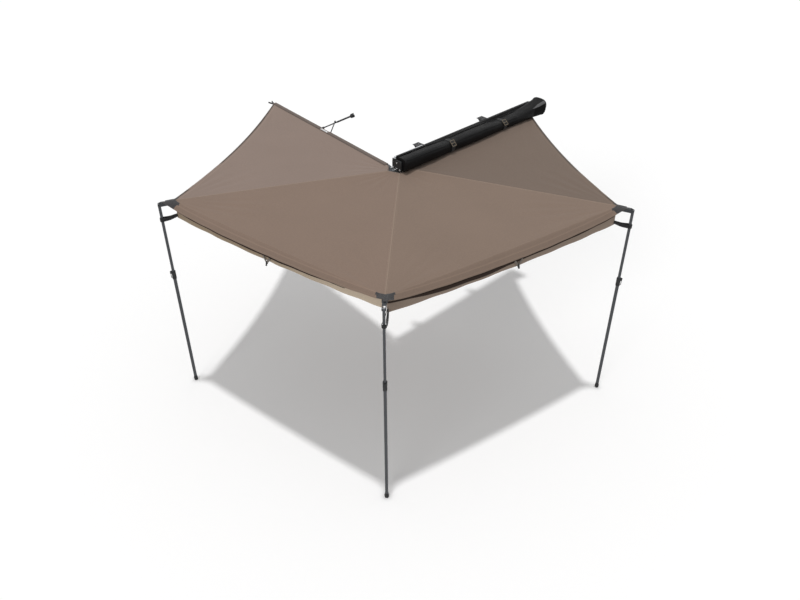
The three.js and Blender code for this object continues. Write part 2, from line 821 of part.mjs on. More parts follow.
// Lock collar: a moulded sleeve on the outer tube's end, waisted, with two lugs for the lever
function buildCollar() {
  const top = -collarTop;
  const bottom = top - collarHeight;
  const body = drawnUp(
    rectangle(-collarWidth / 2, collarWidth / 2, -collarDepth / 2, collarDepth / 2, collarCorner),
    bottom, top,
  );
  const waistMiddle = (top + bottom) / 2 - collarWaistHeight;
  const waists = [-1, 1].map((side) => drawnUp(
    rectangle(
      -collarWidth, collarWidth,
      Math.min(side * (collarDepth / 2 - collarWaistDepth), side * collarDepth),
      Math.max(side * (collarDepth / 2 - collarWaistDepth), side * collarDepth),
    ),
    waistMiddle - collarWaistHeight / 2, waistMiddle + collarWaistHeight / 2,
  ));
  const lugHalf = leverTipWidth / 2 + leverSideGap;
  const lugs = [-1, 1].map((side) => {
    const near = side * lugHalf;
    const far = side * (lugHalf + collarLugWidth);
    const reach = collarWidth / 2 + collarLugReach;
    const profile = new THREE.Shape();
    profile.moveTo(collarWidth / 2 - collarWaistDepth, top - collarLugHeight);
    profile.lineTo(reach - collarLugHeight / 2, top - collarLugHeight);
    profile.absarc(reach - collarLugHeight / 2, top - collarLugHeight / 2, collarLugHeight / 2,
      -Math.PI / 2, Math.PI / 2, false);
    profile.lineTo(collarWidth / 2 - collarWaistDepth, top);
    return drawnAcross(profile, Math.min(near, far), Math.max(near, far));
  });
  const throat = drawnUp(
    rectangle(
      -innerWidth / 2 - innerPoleGap, innerWidth / 2 + innerPoleGap,
      -innerDepth / 2 - innerPoleGap, innerDepth / 2 + innerPoleGap,
    ),
    bottom - cutOverrun, top + cutOverrun,
  );
  const seat = drawnUp(
    rectangle(
      -poleWidth / 2 - runningGap, poleWidth / 2 + runningGap,
      -poleDepth / 2 - runningGap, poleDepth / 2 + runningGap, poleCorner,
    ),
    bottom - cutOverrun, -outerPoleTop + runningGap,
  );
  const pinHole = drawnAcross(
    disc(leverPinRadius + runningGap, leverPinX, leverPinZ, 12),
    -collarDepth, collarDepth,
  );
  const cradle = drawnAcross(
    disc(leverEyeRadius + leverSideGap, leverPinX, leverPinZ), -lugHalf, lugHalf,
  );
  return cut(join(cut(body, ...waists), ...lugs), throat, seat, pinHole, cradle);
}

// Cam lever: a bowed strip that hangs against the collar from its own cross pin
function buildLever() {
  const drop = leverLength;
  const face = leverPinX + leverEyeRadius;
  const strip = new THREE.Shape();
  strip.moveTo(face - leverThickness, leverPinZ);
  strip.quadraticCurveTo(face - leverThickness + leverBow, leverPinZ - drop / 2, face - leverThickness,
    leverPinZ - drop);
  strip.lineTo(face, leverPinZ - drop);
  strip.quadraticCurveTo(face + leverBow, leverPinZ - drop / 2, face, leverPinZ);
  const half = leverTipWidth / 2;
  const blade = drawnAcross(strip, -half, half);
  const eye = drawnAcross(disc(leverEyeRadius, leverPinX, leverPinZ), -half, half);
  const pin = drawnAcross(disc(leverPinRadius, leverPinX, leverPinZ, 12), -half - collarLugWidth,
    half + collarLugWidth);
  return join(blade, eye, pin);
}

// The foot's profile from its tread to its neck, as shares of its radius and height
const footShares = [
  [0, 0], [0.72, 0], [0.86, 0.04], [0.86, 0.12], [0.95, 0.17], [1, 0.36],
  [1, 0.52], [0.93, 0.66], [0.8, 0.76], [0.8, 1], [0, 1],
];

// Foot: a turned rubber bulb with a tread, and a plug that fills the tube's end
function buildFoot() {
  const ground = -groundDrop;
  const profile = footShares.map(([radius, height]) =>
    new THREE.Vector2(footRadius * radius, footHeight * height));
  const bulb = new THREE.LatheGeometry(profile, 16);
  bulb.rotateX(Math.PI / 2);
  bulb.translate(0, 0, ground);
  const plugX = poleWidth / 2 - poleWall - footPlugGap;
  const plugY = poleDepth / 2 - poleWall - footPlugGap;
  const plug = drawnUp(rectangle(-plugX, plugX, -plugY, plugY), ground + footHeight - footPlugRoot,
    ground + footHeight + footPlugLength);
  return join(solidFrom(bulb), plug);
}

// Strap: a webbing loop from the canopy's corner round the pole
function buildPoleStrap() {
  const loop = (grow) => {
    const shape = new THREE.Shape();
    const radius = strapRingRadius + grow;
    const nose = strapNose + grow;
    const angle = Math.acos((radius - nose) / (armLength - strapInner));
    shape.absarc(armLength, 0, radius, angle - Math.PI, Math.PI - angle, false);
    shape.absarc(strapInner, 0, nose, Math.PI - angle, Math.PI + angle, false);
    return shape;
  };
  const shape = loop(strapThickness);
  shape.holes.push(loop(0));
  return drawnUp(shape, -poleDrop - strapTop - strapWidth, -poleDrop - strapTop);
}

// Canopy gores. A gore's edges follow two lines, and a share of the way across runs between them
function pinLine(index, from, to) {
  const origin = armPins[index];
  const heading = armAngles[index];
  const inset = (side) => new THREE.Vector3(-Math.sin(heading), Math.cos(heading), 0)
    .multiplyScalar(side * seamGap / 2);
  return (share, side) => new THREE.Vector3(
    origin.x + (from + (to - from) * share) * Math.cos(heading),
    origin.y + (from + (to - from) * share) * Math.sin(heading),
    armTopHeight + runningGap,
  ).add(inset(side));
}

function railLine(share) {
  return new THREE.Vector3(
    canopyRailStart + (canopyRailEnd - canopyRailStart) * share,
    canopyRailY,
    railBottomHeight - runningGap - clothThickness,
  );
}

function goreLines(index) {
  const reach = index === armLetters.length - 1 ? canopyLastReach : canopyReach;
  const near = index === 0 ? railLine : pinLine(index - 1, canopyInnerReach, canopyReach);
  return [near, pinLine(index, canopyInnerReach, reach)];
}

// A gore lies flat across half of each arm's width before it sags
const armCrossing = (armWidth / 2 + clothThickness) / Math.cos(radians(Math.max(...panelAngles)) / 2);
const onArmShare = 0.45;

function buildGore(index) {
  const [near, far] = goreLines(index);
  const bow = index === 0 ? freeEdgeBow : (index === armLetters.length - 1 ? lastEdgeBow : 0);
  const column = 1 / canopyColumns;
  const at = (across, along) => {
    const free = THREE.MathUtils.clamp((across - column) / (1 - 2 * column), 0, 1);
    const belly = 4 * free * (1 - free);
    const share = along * (1 - (bow / canopyReach) * belly);
    const [start, end] = [near(share, -1), far(share, 1)];
    const onArm = Math.min(armCrossing / start.distanceTo(end), onArmShare);
    const spread = across === 0 || across === 1 ? across : onArm + (1 - 2 * onArm) * free;
    const point = start.lerp(end, spread);
    point.z -= canopySag * belly * Math.sqrt(share) * (1 - share / 2);
    return point;
  };
  return cloth(canopyColumns, canopyRows, at, new THREE.Vector3(0, 0, clothThickness));
}

// A valance hangs from a gore's outer edge, with soft folds that deepen towards its hem
function buildValance(index) {
  const [near, far] = goreLines(index);
  const start = near(1, -1);
  const end = far(1, 1);
  const run = end.clone().sub(start);
  const length = run.length();
  run.normalize();
  const outward = new THREE.Vector3(-run.y, run.x, 0);
  if (outward.dot(start) < 0) outward.negate();
  const at = (across, down) => {
    const share = across + (1 - 2 * across) * (valanceInset / length);
    const belly = 4 * share * (1 - share);
    const wave = Math.sin(2 * Math.PI * valanceFoldCount * share) * valanceFold * down;
    const point = start.clone().lerp(end, share);
    point.addScaledVector(outward, runningGap + wave + valanceFold * down);
    point.z = armTopHeight - canopySag * belly / 2 - valanceDrop * down;
    return point;
  };
  return cloth(valanceColumns, valanceRows, at, outward.clone().multiplyScalar(clothThickness));
}

// Corner patch: a webbing anvil over the seam. Its wings are swept along the hems, a tail runs to the tip
function buildPatch() {
  const start = canopyReach - patchLength;
  const end = canopyReach + patchTailLength;
  const [wing, waist, neck] = [patchWidth / 2, patchWaist / 2, patchWaist / 4];
  const hem = (side) => canopyReach - runningGap - side * patchSweepShare;
  const shape = outline([
    [start, -waist],
    [hem(waist) - patchBand, -waist],
    [hem(wing) - patchBand, -wing],
    [hem(wing), -wing],
    [hem(neck), -neck],
    [end, -neck],
    [end, neck],
    [hem(neck), neck],
    [hem(wing), wing],
    [hem(wing) - patchBand, wing],
    [hem(waist) - patchBand, waist],
    [start, waist],
  ]);
  return drawnUp(shape, patchLift, patchLift + patchThickness);
}

// Cover bag. Its section is a rounded square, pinched under each strap, with long soft folds
const bagCentreShare = 0.5;

function bagSection(x, grow) {
  const along = (x - bagRearX) / (bagRollFrontX - bagRearX);
  const beside = Math.min(Math.abs(x - bagStrapRearX), Math.abs(x - bagStrapFrontX)) - bagStrapWidth / 2;
  const nearStrap = Math.max(beside, 0) / bagPinchLength;
  const pinch = bagPinch * Math.exp(-nearStrap * nearStrap);
  const width = bagRollWidth + bagRollWidthGrowth * along - pinch;
  const height = bagRollHeight - bagRollHeightLoss * along - pinch;
  const middleY = bagBackY - width * bagCentreShare;
  const middleZ = bagFloorHeight + height * bagCentreShare;
  const [halfWidth, halfHeight] = [width / 2 + grow, height / 2 + grow];
  return { middleY, middleZ, halfWidth, halfHeight, calm: pinch / bagPinch };
}

function bagRing(x, section, sides, fold) {
  return Array.from({ length: sides }, (_, k) => {
    const angle = (2 * Math.PI * k) / sides;
    const [c, s] = [Math.cos(angle), Math.sin(angle)];
    const round = (value) => Math.sign(value) * Math.abs(value) ** (2 / bagRoundness);
    const ripple = 1 - fold * (0.5 + 0.5 * Math.sin(3 * angle + bagFoldCount * x / bagRollFrontX * Math.PI));
    return new THREE.Vector3(
      x,
      section.middleY + section.halfWidth * round(c) * ripple,
      section.middleZ + section.halfHeight * round(s) * ripple,
    );
  });
}

function buildBagRoll() {
  const even = Array.from({ length: bagSections + 1 }, (_, k) =>
    bagRearX + (bagRollFrontX - bagRearX) * (k / bagSections));
  const straps = [bagStrapRearX, bagStrapFrontX];
  const clear = even.filter((x) => straps.every((at) => Math.abs(x - at) > bagStrapWidth));
  const edges = straps.flatMap((at) => [at - bagStrapWidth / 2, at + bagStrapWidth / 2]);
  const rings = [...clear, ...edges].sort((a, b) => a - b).map((x) => {
    const section = bagSection(x, 0);
    return bagRing(x, section, bagSides, (bagFold / bagRollHeight) * (1 - section.calm));
  });
  return loft(rings);
}

// The bag's front mouth flares up and out, and is hollow
function cowlSection(along, grow) {
  const root = bagSection(bagRollFrontX, 0);
  const open = along ** (1 / cowlFlareShare);
  const mix = (from, to) => from + (to - from) * open;
  const halfWidth = mix(root.halfWidth, cowlMouthWidth / 2);
  const halfHeight = mix(root.halfHeight, cowlMouthHeight / 2);
  return {
    middleY: bagBackY - halfWidth,
    middleZ: bagFloorHeight + halfHeight + cowlMouthLift * open,
    halfWidth: halfWidth + grow,
    halfHeight: halfHeight + grow,
  };
}

function buildBagCowl() {
  const start = bagRollFrontX + runningGap;
  const rings = (from, to, grow) => Array.from({ length: cowlSections + 1 }, (_, k) => {
    const along = from + (to - from) * (k / cowlSections);
    const ring = bagRing(0, cowlSection(Math.min(along, 1), grow), bagSides, 0);
    const base = start + (cowlFrontX - start) * along;
    for (const point of ring) {
      const height = (point.z - bagFloorHeight) / cowlMouthHeight;
      point.x = base + cowlSkew * along * (height - bagCentreShare);
    }
    return ring;
  });
  const hollowFrom = 1 - cowlDepth / (cowlFrontX - start);
  const past = 1 + cutOverrun / (cowlFrontX - start);
  return cut(solidFrom(loft(rings(0, 1, 0))), solidFrom(loft(rings(hollowFrom, past, -cowlWall))));
}

// A strap closes round the bag, and a ladder buckle lies on its shoulder
function buildBagStrap(middleX) {
  const section = (grow) => bagRing(0, bagSection(middleX, grow), 2 * bagSides, 0)
    .map((point) => [point.y, point.z]);
  const shape = outline(section(bagStrapGap + bagStrapThickness));
  shape.holes.push(outline(section(bagStrapGap)));
  return drawnAlong(shape, middleX - bagStrapWidth / 2, middleX + bagStrapWidth / 2);
}

function buildBuckle() {
  const [across, along] = [buckleWidth / 2, buckleLength / 2];
  const frame = rectangle(-across, across, -along, along, buckleBar / 2);
  const gap = (buckleLength - 3 * buckleBar) / 2;
  for (const side of [-1, 1]) {
    const middle = side * (gap + buckleBar) / 2;
    frame.holes.push(rectangle(
      -across + buckleBar, across - buckleBar, middle - gap / 2, middle + gap / 2,
    ));
  }
  return drawnUp(frame, 0, buckleThickness);
}

// Brace. Its tilted pin lets it drop from the rack and lie along the fourth arm
const lastPin = armPins[armPins.length - 1];
const lastHeading = armAngles[armAngles.length - 1];
const lastAlong = new THREE.Vector3(Math.cos(lastHeading), Math.sin(lastHeading), 0);
const lastRight = new THREE.Vector3(Math.sin(lastHeading), -Math.cos(lastHeading), 0);
const onLastArm = (reach, right, height) => new THREE.Vector3(lastPin.x, lastPin.y, height)
  .addScaledVector(lastAlong, reach)
  .addScaledVector(lastRight, right);
const bracePivot = onLastArm(braceReach, armWidth / 2 + braceOffset, armTopHeight - braceDrop);
const braceTarget = new THREE.Vector3(braceClampX, braceClampY, braceClampHeight);
const braceRun = braceTarget.clone().sub(bracePivot);
const braceLength = braceRun.length();
const braceHeading = braceRun.clone().normalize();
const braceAxis = new THREE.Vector3().crossVectors(braceHeading, lastAlong.clone().negate()).normalize();
const braceSide = new THREE.Vector3().crossVectors(braceAxis, braceHeading);

// The brace's own frame: X along it, Z along its pin
function braceFrame() {
  const group = new THREE.Group();
  const basis = new THREE.Matrix4().makeBasis(braceHeading, braceSide, braceAxis);
  group.position.copy(bracePivot);
  group.quaternion.setFromRotationMatrix(basis);
  return group;
}

const rodLength = braceLength * braceRodShare;

// The rod carries the strut's pin just before the tube
const strutPlane = -(braceTubeRadius + strutGap + strutRadius);
const strutPinAt = rodLength - strutPinInset;

function buildBraceRod() {
  const neck = braceEyeRadius + braceNeckLength;
  const rod = drawnAlong(disc(braceRodRadius), neck - braceNeckLength / 2, rodLength + braceRodTail);
  const half = braceEyeThickness / 2;
  const tongue = drawnUp(rectangle(0, neck, -half, half), -half, half);
  const eye = drawnUp(disc(braceEyeRadius), -half, half);
  const hole = drawnUp(disc(bracePinRadius + runningGap), -braceEyeThickness, braceEyeThickness);
  const strutPin = drawnUp(disc(bracePinRadius, strutPinAt), strutPlane - strutRadius - strutGap, 0);
  return cut(join(rod, tongue, eye, strutPin), hole);
}

// The outer tube slides over the rod's end
function buildBraceTube() {
  const end = braceLength - braceClampLength / 2 - runningGap;
  const tube = drawnAlong(disc(braceTubeRadius), rodLength, end);
  const bore = drawnAlong(disc(braceTubeRadius - braceTubeWall), rodLength - cutOverrun, end + cutOverrun);
  return cut(tube, bore);
}

// Clamp jaws that grip the crossbar's end, with a plug in the tube
function buildBraceClamp() {
  const half = braceClampWidth / 2;
  const from = braceLength - braceClampLength / 2;
  const to = braceLength + braceClampLength / 2;
  const jaw = outline([
    [from, -half / 2],
    [from + braceClampLength / 4, -half],
    [to, -half],
    [to, -braceClampSlot / 2],
    [braceLength, -braceClampSlot / 2],
    [braceLength, braceClampSlot / 2],
    [to, braceClampSlot / 2],
    [to, half],
    [from + braceClampLength / 4, half],
    [from, half / 2],
  ]);
  const body = drawnAcross(jaw, -braceClampThickness / 2, braceClampThickness / 2);
  const plug = drawnAlong(disc(braceTubeRadius - braceTubeWall - runningGap, 0, 0, 16),
    from - braceClampLength / 2, from + cutOverrun);
  return join(body, plug);
}

// Strut: from the pin under the tube back to the fourth arm's side. Its foot rests free beside the arm
function strutFoot() {
  const side = armWidth / 2 + strutFootGap + strutRadius;
  const level = onLastArm(strutFootReach, side, armTopHeight - braceDrop).sub(bracePivot);
  const rise = (level.dot(braceAxis) - strutPlane) / -braceAxis.z;
  level.z += rise;
  return new THREE.Vector2(level.dot(braceHeading), level.dot(braceSide));
}

function buildStrut() {
  const foot = strutFoot();
  const start = new THREE.Vector2(strutPinAt, 0);
  const run = foot.clone().sub(start);
  const rod = drawnAlong(disc(strutRadius, 0, 0, 12), strutEyeRadius / 2, run.length());
  const eye = drawnUp(disc(strutEyeRadius), -strutRadius, strutRadius);
  const hole = drawnUp(disc(bracePinRadius + runningGap, 0, 0, 12), -2 * strutRadius, 2 * strutRadius);
  return { body: cut(join(rod, eye), hole), heading: run.angle() };
}

// Brace bracket: a plate on the arm's side with two ears that take the tilted pin
function buildBraceBracket() {
  const into = braceFrame();
  into.updateMatrixWorld(true);
  const toBrace = into.matrixWorld.clone().invert();
  const armMatrix = new THREE.Matrix4().makeBasis(lastAlong, lastRight.clone().negate(), Z)
    .setPosition(lastPin.x, lastPin.y, armTopHeight);
  const moved = (body) => solidFrom(geometryFrom(body).applyMatrix4(toBrace.clone().multiply(armMatrix)));
  const wall = -armWidth / 2 - runningGap;
  const plateShape = rectangle(
    braceReach - braceBracketLength / 2, braceReach + braceBracketLength / 2,
    -armDepth + braceBracketPlate, -braceBracketPlate / 2, braceBracketPlate,
  );
  const plate = moved(drawnAcross(plateShape, wall - braceBracketPlate, wall));
  const armSide = moved(drawnAcross(
    rectangle(braceReach - armDepth * 2, braceReach + armDepth * 2, -armDepth * 2, armDepth * 2),
    wall - braceBracketPlate / 2, armWidth,
  ));
  const wallward = lastRight.clone().negate();
  const reach = braceOffset / Math.hypot(wallward.dot(braceHeading), wallward.dot(braceSide)) + armWall;
  const heading = Math.atan2(wallward.dot(braceSide), wallward.dot(braceHeading));
  const near = braceEyeThickness / 2 + runningGap;
  const ears = [near, -near - braceEarThickness].map((from) => drawnUp(
    capsule(0, 0, reach * Math.cos(heading), reach * Math.sin(heading), braceEyeRadius),
    from, from + braceEarThickness,
  ));
  const pin = drawnUp(disc(bracePinRadius, 0, 0, 12), -near - braceEarThickness, near + braceEarThickness);
  return join(cut(join(...ears), armSide), plate, pin);
}

// Assembly
const awning = new THREE.Group();
awning.add(
  node('rail', railAluminium, buildRail()),
  node('rail_end_cap_rear', blackPlastic, buildRailCap(railRearX, -1)),
  node('rail_end_cap_front', blackPlastic, buildRailCap(railFrontX, 1)),
  node('hinge_bracket', blackSteel, buildHingeBracket()),
  node('crossbar_bracket_rear', blackSteel, buildCrossbarBracket(crossbarBracketRearX)),
  node('crossbar_bracket_front', blackSteel, buildCrossbarBracket(crossbarBracketFrontX)),
  node('bag_roll', coverCloth, buildBagRoll()),
  node('bag_cowl', coverCloth, buildBagCowl()),
);

const bagStraps = [['rear', bagStrapRearX], ['front', bagStrapFrontX]];
for (const [place, middleX] of bagStraps) {
  const section = bagSection(middleX, bagStrapGap + bagStrapThickness + runningGap);
  const angle = Math.PI - radians(buckleAngle);
  const power = 2 / bagRoundness;
  const buckle = node(`bag_buckle_${place}`, buckleMetal, buildBuckle());
  buckle.position.set(
    middleX,
    section.middleY - section.halfWidth * Math.abs(Math.cos(angle)) ** power,
    section.middleZ + section.halfHeight * Math.sin(angle) ** power,
  );
  const slope = Math.atan2(
    Math.sin(angle) ** (2 - power) / section.halfHeight,
    -(Math.abs(Math.cos(angle)) ** (2 - power)) / section.halfWidth,
  );
  buckle.rotation.x = slope - Math.PI / 2;
  awning.add(node(`bag_strap_${place}`, blackWebbing, buildBagStrap(middleX)), buckle);
}

function buildPole(letter) {
  const pole = new THREE.Group();
  pole.position.set(armLength, 0, -poleDrop);
  pole.add(
    node(`pole_upper_${letter}`, poleAluminium, buildPoleUpper()),
    node(`pole_lower_${letter}`, poleAluminium, buildPoleLower()),
    node(`lock_collar_${letter}`, blackPlastic, buildCollar()),
    node(`lock_lever_${letter}`, blackPlastic, buildLever()),
    node(`pole_foot_${letter}`, rubber, buildFoot()),
  );
  return pole;
}

armLetters.forEach((letter, index) => {
  const last = index === armLetters.length - 1;
  const arm = new THREE.Group();
  arm.position.set(armPins[index].x, armPins[index].y, armTopHeight);
  arm.rotation.z = armAngles[index];
  const bolt = index === 0
    ? buildHingeBolt(runningGap + bracketPlate, -knuckleHeight - runningGap - bracketPlate)
    : buildHingeBolt(0, -knuckleHeight);
  arm.add(
    node(`hinge_bolt_${letter}`, boltSteel, bolt),
    node(`arm_knuckle_${letter}`, castMetal, buildKnuckle(index === 0, !last)),
    node(`arm_channel_${letter}`, armAluminium, buildArm()),
    node(`arm_tip_${letter}`, castMetal, last ? buildYoke() : buildFork()),
  );
  if (!last) {
    arm.add(
      node(`corner_patch_${letter}`, webbing, buildPatch()),
      node(`pole_strap_${letter}`, blackWebbing, buildPoleStrap()),
      buildPole(letter),
    );
  }
  const before = index === 0 ? 'a' : armLetters[index - 1];
  awning.add(arm, node(`canopy_${before}${letter}`, canopyCloth, buildGore(index)));
});
for (const index of [1, 2]) {
  awning.add(node(`valance_${armLetters[index - 1]}${armLetters[index]}`, canopyCloth, buildValance(index)));
}

const brace = braceFrame();
const strutParts = buildStrut();
const strut = node('brace_strut', poleAluminium, strutParts.body);
strut.position.set(strutPinAt, 0, strutPlane);
strut.rotation.z = strutParts.heading;
brace.add(
  node('brace_bracket', castMetal, buildBraceBracket()),
  node('brace_rod', poleAluminium, buildBraceRod()),
  node('brace_tube', poleAluminium, buildBraceTube()),
  node('brace_clamp', blackPlastic, buildBraceClamp()),
  strut,
);
awning.add(brace);

// The origin is the middle of the rear crossbar bracket's flat face
const group = new THREE.Group();
awning.position.set(
  -crossbarBracketRearX,
  -(railBackY + runningGap + crossbarBracketReach / 2 + crossbarBracketPlate),
  -crossbarFaceHeight,
);
group.add(awning);

export default group;
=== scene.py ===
import math

import bpy
import numpy as np
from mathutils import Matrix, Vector, noise


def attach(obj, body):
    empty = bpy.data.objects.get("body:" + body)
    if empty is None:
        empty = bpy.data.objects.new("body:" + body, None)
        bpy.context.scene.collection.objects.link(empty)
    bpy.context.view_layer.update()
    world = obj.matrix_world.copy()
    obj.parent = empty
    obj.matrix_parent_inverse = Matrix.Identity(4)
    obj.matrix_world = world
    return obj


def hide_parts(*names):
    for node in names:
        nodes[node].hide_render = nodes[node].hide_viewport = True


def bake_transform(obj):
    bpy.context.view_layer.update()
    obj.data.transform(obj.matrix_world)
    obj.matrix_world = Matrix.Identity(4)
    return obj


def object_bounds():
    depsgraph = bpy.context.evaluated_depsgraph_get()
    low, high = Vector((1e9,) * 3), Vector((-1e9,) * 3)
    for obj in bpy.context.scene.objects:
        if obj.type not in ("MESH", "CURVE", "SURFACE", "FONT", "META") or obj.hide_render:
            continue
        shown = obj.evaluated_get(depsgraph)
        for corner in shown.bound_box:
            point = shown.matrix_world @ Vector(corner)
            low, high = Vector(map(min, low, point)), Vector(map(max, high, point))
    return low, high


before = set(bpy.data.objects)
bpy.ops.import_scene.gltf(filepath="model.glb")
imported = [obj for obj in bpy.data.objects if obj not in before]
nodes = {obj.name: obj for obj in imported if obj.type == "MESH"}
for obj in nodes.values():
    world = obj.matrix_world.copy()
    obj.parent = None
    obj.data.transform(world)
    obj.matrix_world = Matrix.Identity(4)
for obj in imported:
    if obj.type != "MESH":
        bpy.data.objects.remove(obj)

cad_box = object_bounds()

# Lengths are in millimetres in the source's frame, and place() turns them into the part frame's metres
ORIGIN = np.array([325.0, 88.3, 1975.0])
# Gore 0 lies between the rail and arm b, and gore 3 between arms d and e. Gores 1 and 2 are hemmed
LETTERS, POLES = "bcde", "bcd"
GORE_NAMES = ["ab", "bc", "cd", "de"]
HEMMED = (1, 2)
PANEL_ANGLES = [65.3, 71.5, 70.1, 67.1]
FIRST_PIN = (62.0, 12.0)
HINGE_SPACING = 54.0
ARM_TOP = 1866.0
ARM_WIDTH, ARM_DEPTH, ARM_LENGTH = 42.0, 30.0, 1928.0
CLOTH = 1.2
GAP = 0.3
UP = (0, 0, 1)


def place(points):
    return (np.asarray(points, float) - ORIGIN) / 1000.0


# Arm pins and headings
headings = list(-np.radians(np.cumsum(PANEL_ANGLES)))
pins = [np.array(FIRST_PIN)]
for heading in headings[:-1]:
    pins.append(pins[-1] + HINGE_SPACING * np.array([math.sin(heading), -math.cos(heading)]))


def on_arm(index, reach, side, height):
    """Points beside an arm: reach along it, side to its left, height above the arms' top."""
    reach, side, height = np.broadcast_arrays(
        np.asarray(reach, float), np.asarray(side, float), np.asarray(height, float))
    c, s = math.cos(headings[index]), math.sin(headings[index])
    x = pins[index][0] + reach * c - side * s
    y = pins[index][1] + reach * s + side * c
    return np.stack([x, y, ARM_TOP + height], axis=-1)


def linked(name, data):
    """A new object in the scene."""
    made = bpy.data.objects.new(name, data)
    bpy.context.scene.collection.objects.link(made)
    return made


# Camera, fitted to the photograph
CAMERA_YAW, CAMERA_PITCH = 46.25, 36.26
camera_data = bpy.data.cameras.new("camera")
camera_data.lens, camera_data.sensor_width, camera_data.clip_end = 34.03, 36, 200
camera = linked("camera", camera_data)
camera.location = (-4.329, -4.297, 2.794)
camera.rotation_euler = (math.radians(90 - CAMERA_PITCH), 0, math.radians(CAMERA_YAW - 90))
bpy.context.scene.camera = camera


# Material helpers. Those that start from a socket work in that socket's own tree
def linear(red, green, blue):
    def one(value):
        value /= 255
        return value / 12.92 if value <= 0.04045 else ((value + 0.055) / 1.055) ** 2.4
    return (one(red), one(green), one(blue), 1.0)


def shade(color, amount):
    return tuple(value * amount for value in color[:3]) + (1.0,)


def add(tree, kind, settings=None, **inputs):
    """A new node. Inputs are named, or numbered as i0, and take a value or a socket to link."""
    made = tree.nodes.new("ShaderNode" + kind)
    for key, value in (settings or {}).items():
        setattr(made, key, value)
    for key, value in inputs.items():
        name = int(key[1:]) if key[0] == "i" and key[1:].isdigit() else key.replace("_", " ")
        socket = made.inputs[name]
        if isinstance(value, bpy.types.NodeSocket):
            tree.links.new(value, socket)
        else:
            socket.default_value = value
    return made


def maths(operation, first, second=0.0, third=0.0):
    return add(first.id_data, "Math", {"operation": operation}, i0=first, i1=second, i2=third).outputs[0]


def attribute(tree, name):
    return add(tree, "Attribute", {"attribute_name": name}).outputs["Fac"]


def ranged(value, low, high, to_low=0.0, to_high=1.0):
    """The way from to_low to to_high, as the value goes from low to high."""
    return add(value.id_data, "MapRange", Value=value, From_Min=low, From_Max=high, To_Min=to_low,
               To_Max=to_high).outputs["Result"]


def tones(factor, color, *stops):
    """The colour, lighter or darker by a ramp. Each stop is a position and the shade there."""
    made = add(factor.id_data, "ValToRGB", Fac=factor)
    elements = made.color_ramp.elements
    while len(elements) < len(stops):
        elements.new(0.5)
    for element, (position, amount) in zip(elements, stops):
        element.position = position
        element.color = shade(color, amount)
    return made.outputs["Color"]


def mix(tree, factor, first, second, blend="MIX"):
    return add(tree, "Mix", {"data_type": "RGBA", "blend_type": blend}, i0=factor, i6=first, i7=second).outputs[2]


def laid(base, color, amount, mask, share=None):
    """A shade of the colour laid over the base by the mask, or by a share of it."""
    factor = mask if share is None else maths("MULTIPLY", mask, share)
    return mix(base.id_data, factor, base, shade(color, amount))


SHADER = "Principled BSDF"


def surface(name, color, **constants):
    """A new material with its shader's constants set, its tree, and the colour from sRGB to linear."""
    made = bpy.data.materials.new(name)
    made.use_nodes = True
    for key, value in constants.items():
        made.node_tree.nodes[SHADER].inputs[key.replace("_", " ")].default_value = value
    return made, made.node_tree, linear(*color)


def dress(made, color, height, distance, strength, roughness=None):
    """The material, with colour, relief and roughness led to its shader."""
    tree = made.node_tree
    bump = add(tree, "Bump", Height=height, Distance=distance, Strength=strength).outputs["Normal"]
    for key, socket in (("Base Color", color), ("Roughness", roughness), ("Normal", bump)):
        if socket is not None:
            tree.links.new(socket, tree.nodes[SHADER].inputs[key])
    return made


def here(tree, scale=(1, 1, 1)):
    """Object coordinates in metres, scaled. Every piece has the part's own frame."""
    coordinates = add(tree, "TexCoord").outputs["Object"]
    return add(tree, "Mapping", Vector=coordinates, Scale=scale).outputs["Vector"]


def clouds(tree, scale, detail=3.0, roughness=0.55, stretch=(1, 1, 1)):
    return add(tree, "TexNoise", Vector=here(tree, stretch), Scale=scale, Detail=detail,
               Roughness=roughness).outputs["Fac"]


def stitches(distance, at, run, half=0.0011, pitch=0.0085, dash=0.68):
    """1 on the dashes of a sewn line at a given distance from an edge. Lengths are in metres."""
    near = maths("LESS_THAN", maths("ABSOLUTE", maths("SUBTRACT", distance, at)), half)
    dashes = maths("LESS_THAN", maths("FRACT", maths("DIVIDE", run, pitch)), dash)
    return maths("MULTIPLY", near, dashes)


def weave(tree, pitch):
    """Warp and weft height, from the cloth's own coordinates in metres."""
    warp, weft = (maths("SINE", maths("MULTIPLY", attribute(tree, key), 2 * math.pi / pitch))
                  for key in ("cloth_u", "cloth_v"))
    return maths("MULTIPLY", warp, weft)


# The hem is folded double: how wide, and where its two rows and the arms' own are sewn
HEM_FOLD, HEM_ROWS, ARM_ROW = 46.0, (10.0, 42.0), 12.0


